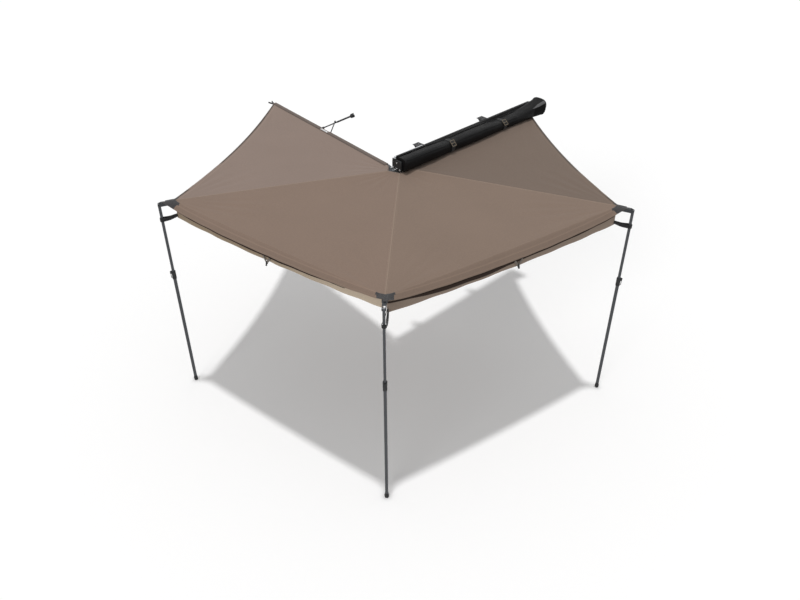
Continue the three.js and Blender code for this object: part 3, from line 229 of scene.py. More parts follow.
def cloth_surface(name, color, sewn=True, pitch=0.0024, sheen=0.12, painted_shade_to=None):
    """Fine woven polyester. Attributes carry the distance from the outer edge and from the arm seams,
    so the stitching follows the cut."""
    made, tree, color = surface(name, color, Roughness=0.86, Sheen_Weight=sheen, Sheen_Roughness=0.5,
                                Specular_IOR_Level=0.25)
    base = tones(clouds(tree, 2.2), color, (0.3, 0.955), (0.7, 1.045))
    base = mix(tree, 0.5, base, tones(clouds(tree, 90.0, 2.0), color, (0.35, 0.93), (0.65, 1.06)))
    height = maths("MULTIPLY_ADD", weave(tree, pitch), 0.25, clouds(tree, 260.0, 2.0))
    if sewn:
        edge, side, run, along = (attribute(tree, key) for key in ("edge", "side", "run", "cloth_v"))
        sewing = stitches(side, ARM_ROW / 1000, along)
        for row in HEM_ROWS:
            sewing = maths("MAXIMUM", sewing, stitches(edge, row / 1000, run))
        base = laid(base, color, 1.45, sewing, 0.7)
        # Painted highlight: a lighter line on the ridge where the folded hem ends
        from_ridge = maths("ABSOLUTE", maths("SUBTRACT", edge, HEM_FOLD / 1000))
        base = laid(base, color, 1.9, ranged(from_ridge, 0.003, 0.007, 0.12, 0.0))
        # Painted shade: where a shade colour is given, the cloth darkens by it along its run, from 0.4 m to 1.3 m
        if painted_shade_to:
            base = mix(tree, ranged(run, 0.4, 1.3), base, mix(tree, 1.0, base, painted_shade_to, "MULTIPLY"))
        # Painted highlight: the fold at the outer 4 mm of the edge is a little lighter. The stitches lie sunk in the
        # cloth
        base = laid(base, color, 1.3, maths("LESS_THAN", edge, 0.004), 0.35)
        height = maths("MULTIPLY_ADD", sewing, -2.0, height)
    return dress(made, base, height, 0.0002, 0.5)


# Painted light and shade: each gore takes a lighter or darker copy of one cloth, standing in for the light that
# falls on it
GORE_LIGHT_AND_SHADE_TINTS = [(112, 97, 86), (128, 110, 97), (130, 111, 98), (135, 118, 108)]
lit_and_shaded_gore_surfaces = [cloth_surface("canopy_cloth_lit_and_shaded_" + pair, tint) for pair, tint in zip(GORE_NAMES, GORE_LIGHT_AND_SHADE_TINTS)]
# Painted light and shade: the two valances are lighter and darker copies of one cloth, bc the darker and cd the
# lighter, and cd also darkens towards arm d
lit_and_shaded_valance_surfaces = {1: cloth_surface("valance_cloth_shaded_bc", (150, 133, 119)),
                    2: cloth_surface("valance_cloth_lit_and_shaded_cd", (200, 183, 162), painted_shade_to=(0.55, 0.51, 0.46, 1.0))}
seam_surface = cloth_surface("seam_cloth", (140, 122, 108), sewn=False)
binding_surface = cloth_surface("binding_cloth", (88, 78, 71), sewn=False, pitch=0.0032)
sleeve_surface = cloth_surface("sleeve_cloth", (108, 97, 91), sewn=False)


def webbing_surface(name, color):
    """Woven webbing: ribs in a herringbone, lighter worn patches and sewn rows near its edges."""
    made, tree, color = surface(name, color, Roughness=0.78, Sheen_Weight=0.2, Sheen_Roughness=0.4,
                                Specular_IOR_Level=0.3)
    u, v, side = (attribute(tree, key) for key in ("cloth_u", "cloth_v", "side"))
    slant = maths("ADD", v, maths("PINGPONG", u, 0.004))
    ribs = maths("SINE", maths("MULTIPLY", slant, 2 * math.pi / 0.0016))
    fuzz = clouds(tree, 240.0, 2.0)
    base = tones(maths("MULTIPLY_ADD", ribs, 0.28, fuzz), color, (0.25, 0.62), (0.75, 1.35))
    base = laid(base, color, 1.5, clouds(tree, 26.0), 0.3)
    base = laid(base, color, 2.6, stitches(side, 0.0035, v, half=0.0007, pitch=0.005, dash=0.65), 0.55)
    return dress(made, base, maths("MULTIPLY_ADD", ribs, 0.5, fuzz), 0.0005, 0.7)


webbing = webbing_surface("grey_webbing", (62, 61, 62))
black_webbing = webbing_surface("black_webbing_woven", (30, 30, 31))
tab_webbing = webbing_surface("tab_webbing", (122, 114, 106))
# Painted shadow: this dark brown cloth makes the strips that stand for the shadow under the drooping hems
tape_cloth = cloth_surface("tape_cloth", (46, 33, 25), sewn=False, sheen=0.0)


def cover_surface(name, color, rough_from, rough_to):
    """Coated cover cloth: a fine basket weave under a slightly glossy coat, with lighter scuffed patches on its
    folds that are partly a painted highlight.
    """
    made, tree, color = surface(name, color, Specular_IOR_Level=0.1)
    scuffs_and_highlight = clouds(tree, 9.0, 5.0, 0.65, (0.35, 1, 1))
    # The lightest stop is partly scuffed wear, partly a painted highlight
    base = tones(scuffs_and_highlight, color, (0.35, 0.8), (0.6, 1.0), (0.78, 1.9))
    base = laid(base, color, 0.5, clouds(tree, 200.0, 2.0), 0.35)
    height = maths("MULTIPLY_ADD", weave(tree, 0.003), 0.5, maths("MULTIPLY", scuffs_and_highlight, 2.5))
    return dress(made, base, height, 0.0005, 0.6, ranged(scuffs_and_highlight, 0.3, 0.7, rough_from, rough_to))


cover_cloth = cover_surface("cover_cloth_coated", (19, 19, 20), 0.4, 0.6)
# Painted shadow and highlight at the bag's mouth: near-black cloth where the mouth is in shade, pale cloth for a
# highlight along its top
lining_and_shadow_cloth = cover_surface("lining_and_shadow_cloth", (9, 9, 9), 0.7, 0.9)
highlight_lip_cloth = cover_surface("highlight_lip_cloth", (98, 98, 99), 0.5, 0.7)


def metal_surface(name, color, metallic, rough, streak=(1, 1, 1), spread=0.07, bump=0.00004, worn=0.0):
    """Drawn or cast metal: streaks along the drawing direction, fine grain and lighter worn spots."""
    made, tree, color = surface(name, color, Metallic=metallic)
    lines = clouds(tree, 60.0, 4.0, 0.6, streak)
    marks = clouds(tree, 14.0, 6.0, 0.7)
    base = tones(lines, color, (0.3, 1 - spread), (0.7, 1 + spread))
    if worn:
        base = laid(base, color, 2.2, ranged(marks, 0.62, 0.72, 0.0, worn))
    height = maths("MULTIPLY_ADD", clouds(tree, 420.0, 2.0), 0.6, lines)
    return dress(made, base, height, bump, 0.7, maths("MULTIPLY_ADD", marks, 0.22, rough - 0.11))


rail_metal = metal_surface("rail_aluminium_drawn", (206, 208, 210), 0.85, 0.34, (0.02, 1, 1))
arm_metal = metal_surface("arm_aluminium_drawn", (84, 86, 89), 0.6, 0.4, (0.15, 0.15, 1), worn=0.2)
pole_metal = metal_surface("pole_aluminium_drawn", (74, 76, 79), 0.55, 0.38, (1, 1, 0.02), worn=0.25)
cast_metal = metal_surface("cast_metal_painted", (56, 58, 61), 0.45, 0.52, spread=0.16, bump=0.00025, worn=0.3)
black_steel = metal_surface("black_steel_coated", (38, 39, 41), 0.4, 0.46, spread=0.12, bump=0.00015, worn=0.3)
bolt_steel = metal_surface("bolt_steel_turned", (192, 194, 196), 1.0, 0.28, spread=0.08, bump=0.00006)
brace_metal = metal_surface("brace_metal_anodised", (33, 33, 35), 0.3, 0.5, (1, 1, 0.1), worn=0.2)
buckle_metal = metal_surface("buckle_metal_plated", (112, 102, 88), 0.7, 0.42, (1, 0.1, 0.1), 0.1, 0.00006, 0.2)


def moulded_surface(name, color, rough, scale, bump):
    """Moulded plastic or rubber with a fine spark-eroded grain and dusty hollows."""
    made, tree, color = surface(name, color, Specular_IOR_Level=0.4)
    grain = add(tree, "TexVoronoi", Vector=here(tree), Scale=scale).outputs["Distance"]
    dust = clouds(tree, 22.0, 5.0, 0.65)
    base = tones(dust, color, (0.3, 0.85), (0.62, 1.0), (0.8, 1.7))
    return dress(made, base, maths("ADD", grain, dust), bump, 0.5, maths("MULTIPLY_ADD", dust, 0.25, rough - 0.12))


black_plastic = moulded_surface("black_plastic_moulded", (34, 35, 37), 0.55, 900.0, 0.0001)
rubber = moulded_surface("rubber_moulded", (43, 43, 44), 0.8, 500.0, 0.0003)

# Materials on the CAD nodes that stay
kept_surfaces = {
    "rail_aluminium": rail_metal, "arm_aluminium": arm_metal, "pole_aluminium": pole_metal,
    "cast_metal": cast_metal, "black_steel": black_steel, "bolt_steel": bolt_steel,
    "buckle_metal": buckle_metal, "black_plastic": black_plastic, "rubber": rubber,
}
for item in nodes.values():
    slot_name = item.data.materials[0].name.split(".")[0]
    if slot_name in kept_surfaces:
        item.data.materials.clear()
        item.data.materials.append(kept_surfaces[slot_name])
for name in ("brace_bracket", "brace_rod", "brace_tube", "brace_strut", "arm_tip_e"):
    nodes[name].data.materials[0] = brace_metal


# Mesh helpers
def unit(vectors):
    return vectors / np.linalg.norm(vectors, axis=-1, keepdims=True)


def smoothstep(value):
    value = np.clip(value, 0, 1)
    return value * value * (3 - 2 * value)


def round_angles(count):
    return np.linspace(0, 2 * math.pi, count, endpoint=False)


def run_of(path):
    """The length along a path, at each of its points."""
    return np.concatenate([[0], np.cumsum(np.linalg.norm(np.diff(path, axis=0), axis=1))])


def soft_noise(points, scale, seed):
    flat = points.reshape(-1, 3)
    out = np.array([noise.noise(Vector((x * scale, y * scale, seed))) for x, y in flat[:, :2]])
    return out.reshape(points.shape[:-1])


def per_point(shape, **lengths):
    """Attributes of a grid of points in metres, from millimetres that broadcast to its shape."""
    return {key: np.broadcast_to(np.asarray(data, float) / 1000, shape) for key, data in lengths.items()}


def doubled(values):
    """The attributes of a sheet's one face, for both of its faces."""
    return {key: np.concatenate([np.ravel(data)] * 2) for key, data in values.items()}


def build(name, points, faces, material, slot, values=None, smooth=True, body=None):
    """A mesh object from points in source millimetres. values are per-point attributes in metres."""
    mesh = bpy.data.meshes.new(name)
    mesh.from_pydata(place(points).tolist(), [], [list(map(int, face)) for face in faces])
    mesh.materials.append(material)
    if smooth:
        mesh.shade_smooth()
    for key, data in (values or {}).items():
        made = mesh.attributes.new(key, "FLOAT", "POINT")
        made.data.foreach_set("value", np.asarray(data, np.float32).ravel())
    mesh.update()
    made = linked(name, mesh)
    if body:
        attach(made, body)
    return made


def grid_faces(rows, columns, start=0, flip=False, close=False, loop=False):
    """Quads of a grid of points in row order. close joins the last column to the first, loop the rows."""
    r, c = np.meshgrid(np.arange(rows - (not loop)), np.arange(columns - (not close)), indexing="ij")
    r2, c2 = (r + 1) % rows, (c + 1) % columns
    faces = np.stack([r * columns + c, r * columns + c2, r2 * columns + c2, r2 * columns + c], -1)
    faces = faces.reshape(-1, 4) + start
    return faces[:, ::-1] if flip else faces


def sheet_mesh(name, top, offset, material, slot, values, **options):
    """A closed sheet: top is a rows by columns grid of points, offset leads to its other face."""
    rows, columns = top.shape[:2]
    count = rows * columns
    points = np.concatenate([top.reshape(-1, 3), (top + offset).reshape(-1, 3)])
    ring = ([(0, c) for c in range(columns)] + [(r, columns - 1) for r in range(1, rows)]
            + [(rows - 1, c) for c in range(columns - 2, -1, -1)] + [(r, 0) for r in range(rows - 2, 0, -1)])
    rim = np.array([r * columns + c for r, c in ring])
    after = np.roll(rim, -1)
    faces = [grid_faces(rows, columns), grid_faces(rows, columns, count, flip=True),
             np.stack([after, rim, rim + count, after + count], -1)]
    return build(name, points, np.concatenate(faces), material, slot, doubled(values), **options)


def loft(name, rings, material, slot, values=None, flip=False, loop=False, **options):
    """A skin over rings of points: with flat ends, or as a loop that ends at its own start."""
    rows, sides = rings.shape[:2]
    faces = list(grid_faces(rows, sides, flip=flip, close=True, loop=loop))
    if not loop:
        ends = [list(range(sides))[::-1], list(range((rows - 1) * sides, rows * sides))]
        faces += [end[::-1] for end in ends] if flip else ends
    return build(name, rings.reshape(-1, 3), faces, material, slot, values, **options)


def ribbon(name, path, up, width, thickness, material, slot, crown=0.0, columns=5, **options):
    """A flat strip along a path of points. up is the normal, width runs across it."""
    path = np.asarray(path, float)
    tangent = unit(np.gradient(path, axis=0))
    sideways = unit(np.cross(up, tangent))
    normal = np.cross(tangent, sideways)
    across = np.linspace(-0.5, 0.5, columns)
    width = np.broadcast_to(np.asarray(width, float), (len(path),))[:, None]
    rise = np.broadcast_to(thickness + crown * (1 - (2 * across) ** 2), (len(path), columns))
    under = -normal[:, None] * rise[..., None]
    top = path[:, None] + sideways[:, None] * (across * width)[..., None] - under
    values = per_point(rise.shape, cloth_u=across * width, cloth_v=run_of(path)[:, None],
                       side=(0.5 - np.abs(across)) * width)
    return sheet_mesh(name, top, under, material, slot, values, **options)


TUBE_SIDES = 10


def tube(name, path, radius, material, slot, loop=False, **options):
    """A round cord along a path of points. radius is one number, or one for each point."""
    path = np.asarray(path, float)
    tangent = unit(np.roll(path, -1, axis=0) - np.roll(path, 1, axis=0) if loop else np.gradient(path, axis=0))
    helper = np.where(np.abs(tangent[:, 2:]) > 0.9, np.array([[1.0, 0, 0]]), np.array([[0, 0, 1.0]]))
    first = unit(np.cross(helper, tangent))
    second = np.cross(tangent, first)
    angles = round_angles(TUBE_SIDES)
    c, s = np.cos(angles)[:, None], np.sin(angles)[:, None]
    radius = np.broadcast_to(np.asarray(radius, float), (len(path),))[:, None, None]
    rings = path[:, None] + radius * (first[:, None] * c + second[:, None] * s)
    values = per_point(rings.shape[:2], cloth_u=2.0 * angles, cloth_v=run_of(path)[:, None], side=20.0)
    return loft(name, rings, material, slot, values, loop=loop, **options)


def blend_by(item, index, weights):
    """Bakes the piece's transform into its mesh. Its own share, 0 at the first body and 1 at the second, is read and
    tiled to its points, but not set on it.
    """
    co = place(on_arm(index, 900, 0, 0))
    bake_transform(item)
    data = np.asarray(weights, np.float32).ravel()
    data = np.tile(data, len(item.data.vertices) // len(data))


# Canopy gores. A gore's edges follow two lines, and a share of the way across runs between them
CANOPY_INNER, CANOPY_REACH, CANOPY_LAST = 42.0, 1815.0, 1866.0
RAIL_START, RAIL_END, RAIL_Y = 112.0, 1796.0, 33.0
RAIL_CLOTH_Z = 1876.5
SAG = 26.0
# The share of the way across that lies on each arm, and how far each free edge is cut back
COLUMN = 1 / 12
BOWS = [62.0, 0.0, 0.0, 78.0]
SEAM_GAP = 0.8
ARM_CROSSING = (ARM_WIDTH / 2 + CLOTH) / math.cos(math.radians(max(PANEL_ANGLES)) / 2)
ON_ARM_SHARE = 0.45


def gore_line(index, share, side):
    """A gore's edge line: the rail for index -1, else an arm. side is -1 or 1, for the seam's gap."""
    share = np.asarray(share, float)
    if index < 0:
        x = RAIL_START + (RAIL_END - RAIL_START) * share
        return np.stack([x, np.full_like(x, RAIL_Y), np.full_like(x, RAIL_CLOTH_Z)], -1)
    reach = CANOPY_LAST if index == 3 and side > 0 else CANOPY_REACH
    return on_arm(index, CANOPY_INNER + (reach - CANOPY_INNER) * share, side * SEAM_GAP / 2, GAP)


def gore_at(index, across, along):
    """Points of a gore and their share of the turn from one arm to the next."""
    across, along = np.broadcast_arrays(np.asarray(across, float), np.asarray(along, float))
    free = np.clip((across - COLUMN) / (1 - 2 * COLUMN), 0, 1)
    belly = 4 * free * (1 - free)
    share = along * (1 - (BOWS[index] / CANOPY_REACH) * belly)
    start, end = gore_line(index - 1, share, -1), gore_line(index, share, 1)
    width = np.linalg.norm(end - start, axis=-1)
    flat = np.minimum(ARM_CROSSING / np.maximum(width, 1e-6), ON_ARM_SHARE)
    edge_share = np.where(across <= COLUMN, across / COLUMN * flat, 1 - (1 - across) / COLUMN * flat)
    spread = np.where((across <= COLUMN) | (across >= 1 - COLUMN), edge_share, flat + (1 - 2 * flat) * free)
    points = start + (end - start) * spread[..., None]
    points[..., 2] -= SAG * belly * np.sqrt(share) * (1 - share / 2)
    return points, free, belly, share, width * spread, width * (1 - spread)


def width_of(index):
    return float(np.linalg.norm(gore_line(index, 1.0, 1) - gore_line(index - 1, 1.0, -1)))


def tip_line(index):
    """The line from tip to tip of a hemmed gore: its start, end and length, its direction and outward."""
    start, end = gore_line(index - 1, 1.0, -1), gore_line(index, 1.0, 1)
    run = unit(end - start)
    outward = np.array([-run[1], run[0], 0.0])
    if outward @ (end - gore_line(index, 0.0, 1)) < 0:
        outward = -outward
    return start, end, width_of(index), run, outward


def spaced(count, *extra):
    """Shares from 0 to 1 with extra ones at the given places."""
    return np.unique(np.round(np.concatenate([np.linspace(0, 1, count), *extra]), 6))


def gore_puckers(index, points, free, belly, share, left, right):
    """Small tension folds: they fan out from the corners and the hub, and pucker beside seams."""
    reach = share * CANOPY_REACH
    lift = 2.6 * soft_noise(points, 0.0021, 3.0 + index) * belly
    for far_side, distance in ((0, left), (1, right)):
        from_corner = np.hypot(distance, CANOPY_REACH - reach)
        bearing = np.arctan2(distance, np.maximum(CANOPY_REACH - reach, 1.0))
        fan = np.sin(bearing * 17 + 2.1 * far_side + index) * np.exp(-((from_corner - 330) / 260) ** 2)
        lift += 2.2 * fan * smoothstep(distance / 160 - 0.2)
    hub = np.sin(free * math.pi * 9 + index) * np.exp(-((reach - 260) / 170) ** 2)
    lift += 1.6 * hub * belly
    hem = np.sin(free * width_of(index) / 31.0 + 3 * soft_noise(points, 0.004, 9.0)) * np.exp(
        -((CANOPY_REACH - reach) / 70) ** 2)
    lift += 0.9 * hem * smoothstep(belly * 3)
    return lift * smoothstep(belly * 6)


# The two hemmed gores droop past the line from tip to tip. The cloth there is cut to a curve, and
# shortest at arm c
DROOP_OUT, DROOP_DOWN, DROOP_SEEN = 0.5, 0.8, 0.92
# Depths below the arms' top, by gore: at arm c, growth to the other arm, and extra in the middle
DROOP_DEPTHS = {1: (50.0, 12.0, 74.0), 2: (38.0, 42.0, 58.0)}
VALANCE_DEPTHS = {1: (139.0, 15.0, 20.0), 2: (98.0, 48.0, 22.0)}
CORNER_OUT = 1.35
LONGEST = 1000.0


def depth_at(depths, index, share):
    at_c, growth, middle = depths[index]
    from_c = 1 - share if index == 1 else share
    return at_c + growth * from_c + middle * np.maximum(4 * share * (1 - share), 0) ** 0.7


def droop_at(index, across, length):
    """Points of the drooping hem, a length of cloth past the line from tip to tip."""
    points, free, belly, share, left, right = gore_at(index, across, 1.0)
    where = np.clip(left / (left + right), 0, 1)
    full = (depth_at(DROOP_DEPTHS, index, where) - SAG * belly / 2) / (DROOP_DOWN + DROOP_SEEN * DROOP_OUT)
    length = np.minimum(length, full)
    aside = np.minimum(left, right) * math.cos(math.radians(PANEL_ANGLES[index]) / 2)
    falls = smoothstep((aside - 16) / 45)
    # Beside an arm the cloth lies flat on its tip, and follows it
    along_arm = np.where((left < right)[..., None], *([math.cos(headings[k]), math.sin(headings[k]), 0.0]
                                                      for k in (index - 1, index)))
    outward = tip_line(index)[-1]
    way = along_arm * (CORNER_OUT * (1 - falls))[..., None] + outward * (DROOP_OUT * falls)[..., None]
    points = points + way * length[..., None]
    points[..., 2] -= DROOP_DOWN * full * (length / full) ** 1.25 * falls
    return points, free, full, left, right


# Columns of points beside the arms, rows at the hem's folds and stitches, and rows down the droop
GORE_COLUMNS, GORE_ROWS = 96, 74
BESIDE_ARMS = COLUMN * np.array([0.25, 0.5, 0.75, 1])
AT_HEM = 1 - np.array([4, 8, 12, 30, 38, 42, 46, 90]) / CANOPY_REACH
DOWN_DROOP = np.array([0.06, 0.14, 0.24, 0.36, 0.5, 0.64, 0.78, 0.88, 0.95, 1.0])[:, None]
HEM_LIFT, LOWEST_PUCKER = 0.9, -8.0

gores = []
for index, pair in enumerate(GORE_NAMES):
    across = spaced(GORE_COLUMNS, BESIDE_ARMS, 1 - BESIDE_ARMS)
    grid_across, along = np.meshgrid(across, spaced(GORE_ROWS, AT_HEM))
    points, free, belly, share, left, right = gore_at(index, grid_across, along)
    edge = (1 - along) * CANOPY_REACH
    points[..., 2] += np.maximum(gore_puckers(index, points, free, belly, share, left, right),
                                  LOWEST_PUCKER)
    if index in HEMMED:
        below = np.broadcast_to(across, (len(DOWN_DROOP), len(across)))
        length = droop_at(index, below, LONGEST)[2] * DOWN_DROOP
        drooped, droop_free, full, droop_left, droop_right = droop_at(index, below, length)
        waves = 3.2 * soft_noise(drooped, 0.0055, 31.0 + index) + 1.1 * np.sin(droop_left / 34.0 + 1.3 * index)
        waves *= smoothstep(DOWN_DROOP) * smoothstep(droop_free * 12) * smoothstep((1 - droop_free) * 12)
        # The puckers at the line from tip to tip run out down the droop
        puckers = points[-1:, :, 2] - gore_at(index, across, 1.0)[0][None, :, 2]
        drooped[..., 2] += waves + puckers * (1 - DOWN_DROOP)
        points, free, edge, share, left, right = map(np.concatenate, (
            (points, drooped), (free, droop_free), (edge + full[:1], full - length),
            (share, 1 + length / CANOPY_REACH), (left, droop_left), (right, droop_right)))
    # The hem is folded double, so it stands a little proud
    points[..., 2] += HEM_LIFT * smoothstep((HEM_FOLD - edge) / 5)
    values = per_point(free.shape, edge=edge, side=np.minimum(left, right), run=free * width_of(index),
                       cloth_u=(left - right) / 2, cloth_v=share * CANOPY_REACH)
    gore = sheet_mesh("canopy_sheet_" + pair, points + (0, 0, CLOTH), np.array((0, 0, -CLOTH)),
                      lit_and_shaded_gore_surfaces[index], "canopy_cloth", values)
    blend_by(gore, index, free)
    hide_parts("canopy_" + pair)
    gores.append(gore)

# Flat-felled seams over the arms, each riding on its own arm
SEAM_WIDTH = 11.0
for index, letter in enumerate(LETTERS[:3]):
    reach = np.linspace(CANOPY_INNER + 4, CANOPY_REACH - 3, 90)
    lift = HEM_LIFT * smoothstep((62 - (CANOPY_REACH - reach)) / 5)
    ribbon("canopy_seam_" + letter, on_arm(index, reach, 0, GAP + CLOTH + 0.05 + lift), UP, SEAM_WIDTH, 0.7,
           seam_surface, "canopy_cloth", crown=0.5, columns=7, body="arm_" + letter)

# Bindings fold round the two free edges. Their section runs under the cloth, round its nose, over it
# and back, as lengths inward from the edge and heights
BINDING = 20.0
BINDING_SECTION = np.array([
    (BINDING, -0.9), (BINDING / 2, -1.0), (2.0, -1.0), (-0.9, -0.6), (-1.4, CLOTH / 2), (-0.9, CLOTH + 1.5),
    (2.0, CLOTH + 2.1), (BINDING / 2, CLOTH + 2.0), (BINDING, CLOTH + 1.8), (BINDING, CLOTH + 0.95),
    (2.0, CLOTH + 0.95), (2.0, -0.1), (BINDING, -0.1)])
for index in (0, 3):
    across = np.concatenate([np.linspace(0.002, COLUMN, 8), np.linspace(COLUMN, 1 - COLUMN, 90)[1:],
                             np.linspace(1 - COLUMN, 0.998, 8)[1:]])[:, None]
    inward, rise = BINDING_SECTION.T
    points, free, *rest = gore_at(index, across, 1 - inward / CANOPY_REACH)
    points[..., 2] += rise
    values = per_point(free.shape, cloth_u=inward, cloth_v=across * width_of(index), side=10.0)
    binding = loft("canopy_binding_" + GORE_NAMES[index], points, binding_surface, "canopy_cloth", values)
    blend_by(binding, index, free)

# Valances hang inside the two drooping hems. A dark strip along each, just below the hem, is painted shadow
VALANCE_FOLD, VALANCE_FOLDS = 2.5, 7
VALANCE_BEHIND, VALANCE_BELOW = 4.0, 2.5
SEWN_INSET, CHANNEL_INSET, CHANNEL_DEPTH = 14.0, 27.0, 32.0


def valance_at(index, across, drop):
    """Points on a valance's outer face, a drop below its sewn edge, with the turn that each follows."""
    start, end, length, run, outward = tip_line(index)
    across, drop = np.broadcast_arrays(np.asarray(across, float), np.asarray(drop, float))
    # The ends stay clear of the arms' channels, and come closer together below these
    inset = SEWN_INSET + (CHANNEL_INSET - SEWN_INSET) * smoothstep((CHANNEL_DEPTH + 9 - drop) / 8)
    share = across + (1 - 2 * across) * (inset / length)
    down = drop / depth_at(VALANCE_DEPTHS, index, share)
    flat = min(ARM_CROSSING / length, ON_ARM_SHARE)
    free = np.clip((share - flat) / (1 - 2 * flat), 0, 1)
    points = start + (end - start) * share[..., None]
    points[..., 2] = ARM_TOP - SAG * 4 * free * (1 - free) / 2 - drop - VALANCE_BELOW
    wave = (1 + np.sin(2 * math.pi * VALANCE_FOLDS * share)) * VALANCE_FOLD * down
    ripple = soft_noise(points, 0.009, 21.0 + index) * 2.2 * smoothstep(down * 1.5)
    puckers = np.sin(share * length / 21.0 + 2.0 * np.sin(share * 40)) * 0.5 * smoothstep(down * 6) * (1 - down)
    hem = 0.7 * smoothstep((down - 0.93) / 0.012)
    points = points + outward * (wave + ripple + puckers + hem - VALANCE_BEHIND)[..., None]
    return points, outward, free, share * length


# Where each painted shadow strip starts and ends, over which share of the way it widens, and how much near the far
# arm
SHADOW_STRIP_ENDS, SHADOW_STRIP_OPENS = {1: (0.004, 0.996), 2: (0.16, 0.996)}, {1: 0.001, 2: 0.28}
SHADOW_STRIP_WIDTH, SHADOW_STRIP_GROWTH = 14.0, {1: 20.0, 2: 0.0}
VALANCE_ROWS = spaced(18, [0.02, 0.21, 0.24, 0.27, 0.3, 0.92, 0.93, 0.94, 0.97])[::-1]
valances = {}
for index in HEMMED:
    pair = GORE_NAMES[index]
    across, level = np.meshgrid(np.linspace(0, 1, 220), VALANCE_ROWS)
    full = depth_at(VALANCE_DEPTHS, index, across)
    points, outward, free, run = valance_at(index, across, level * full)
    # A valance has the hem's outer row only, and no row beside its ends
    values = per_point(level.shape, edge=np.minimum((1 - level) * full, 36), side=200.0, run=run, cloth_u=run,
                       cloth_v=level * full)
    valance = sheet_mesh("valance_sheet_" + pair, points + outward * CLOTH, -outward * CLOTH,
                         lit_and_shaded_valance_surfaces[index], "canopy_cloth", values)
    blend_by(valance, index, free)
    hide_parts("valance_" + pair)
    valances[index] = valance

    across = np.linspace(*SHADOW_STRIP_ENDS[index], 200)
    seen = depth_at(DROOP_DEPTHS, index, across) - SAG * 2 * across * (1 - across)
    opened = 0.3 + 0.7 * smoothstep((across - SHADOW_STRIP_ENDS[index][0]) / SHADOW_STRIP_OPENS[index])
    growth = SHADOW_STRIP_GROWTH[index] * smoothstep((across - 0.45) / 0.15) * smoothstep((0.93 - across) / 0.12)
    width = SHADOW_STRIP_WIDTH * opened + growth
    points, outward, free, run = valance_at(index, across, seen + width / 2 - 3)
    # Painted shadow: a dark strip on the valance, just below the hem's edge
    shadow_strip = ribbon("valance_shadow_strip_" + pair, points + outward * (CLOTH + 0.4), outward, width, 1.2, tape_cloth,
                  "black_webbing", crown=0.8)
    blend_by(shadow_strip, index, np.repeat(free, 5))

# Corner patches. Each wing lies on its own gore, and the tail rides on the arm
PATCH_INSIDE, PATCH_LENGTH, PATCH_FREE_LENGTH, PATCH_FREE_DEPTH = 15.0, 76.0, 40.0, 24.0
PATCH_TAIL, PATCH_THICK, PATCH_ROUND, PATCH_LIFT = 62.0, 1.6, 5.0, 1.6
TAIL_ASIDE = {"b": 0.0, "c": 6.0, "d": 0.0}
SIDES = ((-1, "left"), (1, "right"))


def hem_across(index, side, away):
    """The gore on one side of an arm, and the share across it at a distance along its hem."""
    gore = index + 1 if side < 0 else index
    flat = ARM_CROSSING / width_of(gore)
    spread = np.asarray(away, float) / width_of(gore)
    across = np.where(spread <= flat, COLUMN * spread / flat,
                      COLUMN + (1 - 2 * COLUMN) * (spread - flat) / (1 - 2 * flat))
    return gore, 1 - across if side > 0 else across


def beside_arm(index, side, away, back):
    """Cloth on one side of an arm: away from the seam along the hem, and back from the line of the tips."""
    gore, across = hem_across(index, side, away)
    points, free, *rest = gore_at(gore, across, 1 - np.maximum(back, 0) / CANOPY_REACH)
    if gore in HEMMED:
        drooped, free, *rest = droop_at(gore, across, np.maximum(-back, 0))
        points = np.where((back < 0)[..., None], drooped, points)
    return gore, points, free


for index, letter in enumerate(POLES):
    for side, side_name in SIDES:
        gore, across = hem_across(index, side, 0.0)
        long = PATCH_LENGTH if gore in HEMMED else PATCH_FREE_LENGTH
        away = np.concatenate([np.linspace(0, long - PATCH_ROUND, 30), long - np.array([3.5, 2.2, 1.2, 0.4, 0])])
        trim = PATCH_ROUND - np.sqrt(PATCH_ROUND ** 2 - np.clip(away - (long - PATCH_ROUND), 0, PATCH_ROUND) ** 2)
        if gore in HEMMED:
            inner = PATCH_INSIDE * (1 - 0.85 * smoothstep(away / 55)) - trim
            outer = trim - droop_at(*hem_across(index, side, away), LONGEST)[2]
        else:
            inner = PATCH_INSIDE + (PATCH_FREE_DEPTH - PATCH_INSIDE) * smoothstep(away / 20) - trim
            outer = GAP + trim
        share = np.linspace(0, 1, 26)[:, None]
        back = inner * (1 - share) + outer * share
        away = np.broadcast_to(away, back.shape)
        gore, points, free = beside_arm(index, side, away, back)
        from_edge = np.minimum(np.minimum(inner - back, back - outer), away.max() - away)
        values = per_point(back.shape, cloth_u=back, cloth_v=away, side=from_edge)
        points[..., 2] += CLOTH + PATCH_LIFT
        if side < 0:
            points, free = points[:, ::-1], free[:, ::-1]
            values = {key: value[:, ::-1] for key, value in values.items()}
        wing = sheet_mesh(f"corner_wing_{letter}_{side_name}", points + (0, 0, PATCH_THICK),
                          np.array((0, 0, -PATCH_THICK)), webbing, "webbing", values)
        blend_by(wing, gore, free)
        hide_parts("corner_patch_" + letter)
    reach = np.linspace(CANOPY_REACH - PATCH_INSIDE, CANOPY_REACH + PATCH_TAIL, 40)
    height = CLOTH + PATCH_LIFT + PATCH_THICK + 0.4 - 1.4 * smoothstep((reach - CANOPY_REACH - 22) / 20)
    width = np.interp(reach, [reach[0], CANOPY_REACH + 20, reach[-1]], [34, 30, 26])
    ribbon("corner_tail_" + letter, on_arm(index, reach, TAIL_ASIDE[letter], height), UP, width, 1.5, webbing,
           "webbing", crown=0.3, columns=9, body="arm_" + letter)

